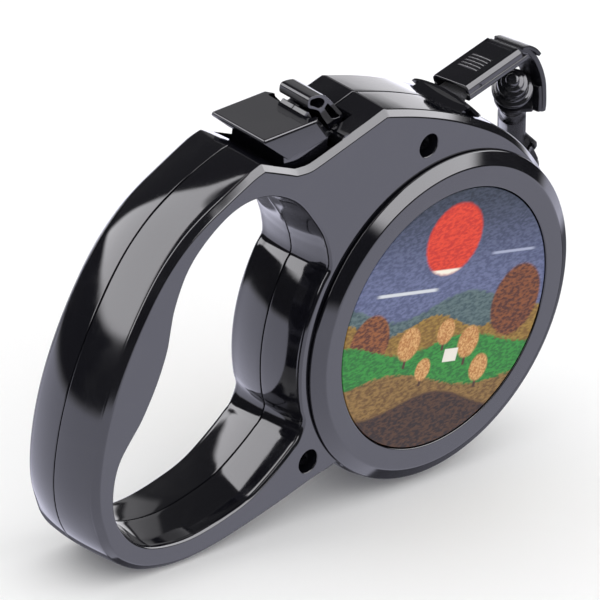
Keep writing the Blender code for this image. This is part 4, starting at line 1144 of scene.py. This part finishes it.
def print_look(name, mirrored):
    """A made-up hill landscape in flat brushed colours under a clear coat."""
    look = Print(name, mirrored)
    horizon = look.tones((0.07, 0.085, 0.17), (0.13, 0.15, 0.27))
    zenith = look.tones((0.012, 0.02, 0.032), (0.035, 0.045, 0.07))
    colour = look.blend(look.remap(look.v, 8, 40), horizon, zenith)
    layers = backdrop_layers(look) + field_layers(look)
    for tree in PRINT_TREES:
        layers += tree_layers(look, *tree)
    hut = look.patch((4.0, 9.5), (-14.0, -10.0), 0.3, 0.3)
    for mask, top in layers + [(hut, (0.75, 0.72, 0.64))]:
        colour = look.blend(mask, colour, top)
    look.set("Base Color", colour)
    look.set("Roughness", look.remap(look.fine, 0.3, 0.7, 0.3, 0.42))
    look.set("Specular IOR Level", 0.25)
    look.bump(look.brush, 0.01)
    return look.material


def paint_cad_nodes(look, *nodes):
    for node in nodes:
        materials = frame["nodes"][node].data.materials
        materials.clear()
        materials.append(look)


gloss = gloss_plastic()
satin = satin_plastic()
pale = pale_plastic()
metal = steel()
plated = blackened_steel()

for side, prefix in ((-1, "right"), (1, "left")):
    shell(prefix + "_shell", side, gloss)
    cover_ring(prefix + "_cover_ring", side, gloss)
    print_disc(prefix + "_print_disc", side, print_look(prefix + "_print", side > 0))
button(gloss)
lever(gloss)
brake_spring(metal)
nozzle(gloss)
clamp_half("clamp_cover_top", 1, "clamp_cover", gloss)
clamp_half("clamp_base_bottom", -1, "clamp_base", gloss)
clamp_pins(metal, plated)
stirrup(satin)
snap_hook(plated)
tape_run(webbing())
paint_cad_nodes(metal, "top_case_screw", "rear_case_screw", "axle_screw", "drum_axle", "power_spring",
                "tape_guide_pin", "lock_lever_pin")
paint_cad_nodes(pale, "tape_drum", "drum_flange", "spring_cover")
paint_cad_nodes(webbing("wound_tape_webbing", around=True), "wound_tape")
paint_cad_nodes(webbing("tape_lead_webbing"), "tape_lead")
paint_cad_nodes(satin, "brake_pawl")

# ---- studio


def floor():
    low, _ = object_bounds()
    bm = bmesh.new()
    bmesh.ops.create_grid(bm, x_segments=1, y_segments=1, size=6.0)
    obj = mesh_object("studio_floor", bm)
    obj.location.z = low.z - 0.0002
    look = Look("studio_floor", (0.9, 0.9, 0.9), 0.8)
    look.bump(look.noise(400), 0.02)
    obj.data.materials.append(look.material)
    obj.visible_glossy = False


# What the polished plastic mirrors: middle azimuth, half width, lowest and highest elevation in degrees, and
# brightness. A negative brightness shades part of the lit floor.
SOFT_BOXES = {
    "rear_left": (146, 46, 13, 82, 5.2),
    "front_right": (-45, 42, 14, 72, 6.0),
    "backdrop": (38, 30, -12, 4, 1.6),
    "haze": (40, 15, 10, 34, 0.45),
    "shaded_floor": (20, 42, -95, -21, -1.4),
}

# The rest of what is mirrored: a lit floor below the horizon's lower angle, a faint glow above its upper one
FLOOR_GLOW = 1.6
HORIZON = (-9, 12)
UPPER_GLOW = 0.1
HORIZON_GLOW = 0.05
FLOOR_TINT = (0.96, 0.96, 1.16)
BOX_TINT = (1.0, 0.99, 1.03)
ROOM_LIGHT = 1.2


def soft_box(nodes, x, y, elevation, azimuth, half_width, low, high, brightness):
    turn = math.radians(azimuth)
    ahead = nodes.add(nodes.multiply(x, math.cos(turn)), nodes.multiply(y, math.sin(turn)))
    aside = nodes.subtract(nodes.multiply(y, math.cos(turn)), nodes.multiply(x, math.sin(turn)))
    bearing = nodes.math("DEGREES", nodes.math("ARCTAN2", aside, ahead))
    wide = nodes.within(bearing, -half_width, half_width, 5.0)
    tall = nodes.within(elevation, low, high, 4.0)
    return nodes.multiply(nodes.multiply(wide, tall), brightness)


def world():
    """A white room, in which mirroring rays see soft boxes and a lit floor instead."""
    made = bpy.data.worlds.new("studio")
    bpy.context.scene.world = made
    made.use_nodes = True
    nodes = Nodes(made.node_tree, "Generated")
    x, y, z = nodes.axes()
    elevation = nodes.math("DEGREES", nodes.math("ARCSINE", z))
    glow = nodes.remap(elevation, HORIZON[0] - 2.5, HORIZON[0] + 2.5, FLOOR_GLOW, HORIZON_GLOW)
    upper = nodes.remap(elevation, HORIZON[1], HORIZON[1] + 6, 0.0, UPPER_GLOW - HORIZON_GLOW)
    glow = nodes.add(glow, upper)
    for box in SOFT_BOXES.values():
        glow = nodes.add(glow, soft_box(nodes, x, y, elevation, *box))
    mirrored = nodes.node("ShaderNodeBackground")
    upward = nodes.remap(elevation, HORIZON[0] - 2.5, HORIZON[0] + 2.5)
    nodes.feed(nodes.blend(upward, FLOOR_TINT, BOX_TINT), mirrored.inputs["Color"])
    nodes.feed(glow, mirrored.inputs["Strength"])
    room = made.node_tree.nodes["Background"]
    room.inputs["Color"].default_value = (1, 1, 1, 1)
    room.inputs["Strength"].default_value = ROOM_LIGHT
    mix = nodes.node("ShaderNodeMixShader")
    path = nodes.node("ShaderNodeLightPath")
    nodes.feed(path.outputs["Is Glossy Ray"], mix.inputs[0])
    nodes.feed(room.outputs[0], mix.inputs[1])
    nodes.feed(mirrored.outputs[0], mix.inputs[2])
    nodes.feed(mix.outputs[0], made.node_tree.nodes["World Output"].inputs["Surface"])


CAMERA_RIGHT = Vector((0.7100, -0.6964, 0.1050))
CAMERA_UP = Vector((0.2557, 0.3939, 0.8828))
CAMERA_DISTANCE = 7.8
VIEW_WIDTH = 0.1671
LOOKED_AT = Vector((-0.0408, 0.0171, 0.0096))


def camera():
    data = bpy.data.cameras.new("camera")
    obj = bpy.data.objects.new("camera", data)
    bpy.context.scene.collection.objects.link(obj)
    right = CAMERA_RIGHT.normalized()
    back = right.cross(CAMERA_UP).normalized()
    up = back.cross(right)
    turn = Matrix((right, up, back)).transposed().to_4x4()
    obj.matrix_world = Matrix.Translation(LOOKED_AT + back * CAMERA_DISTANCE) @ turn
    data.lens = data.sensor_width * CAMERA_DISTANCE / VIEW_WIDTH
    data.clip_end = 50.0
    bpy.context.scene.camera = obj


floor()
world()
camera()
bpy.context.scene.view_settings.view_transform = "Standard"
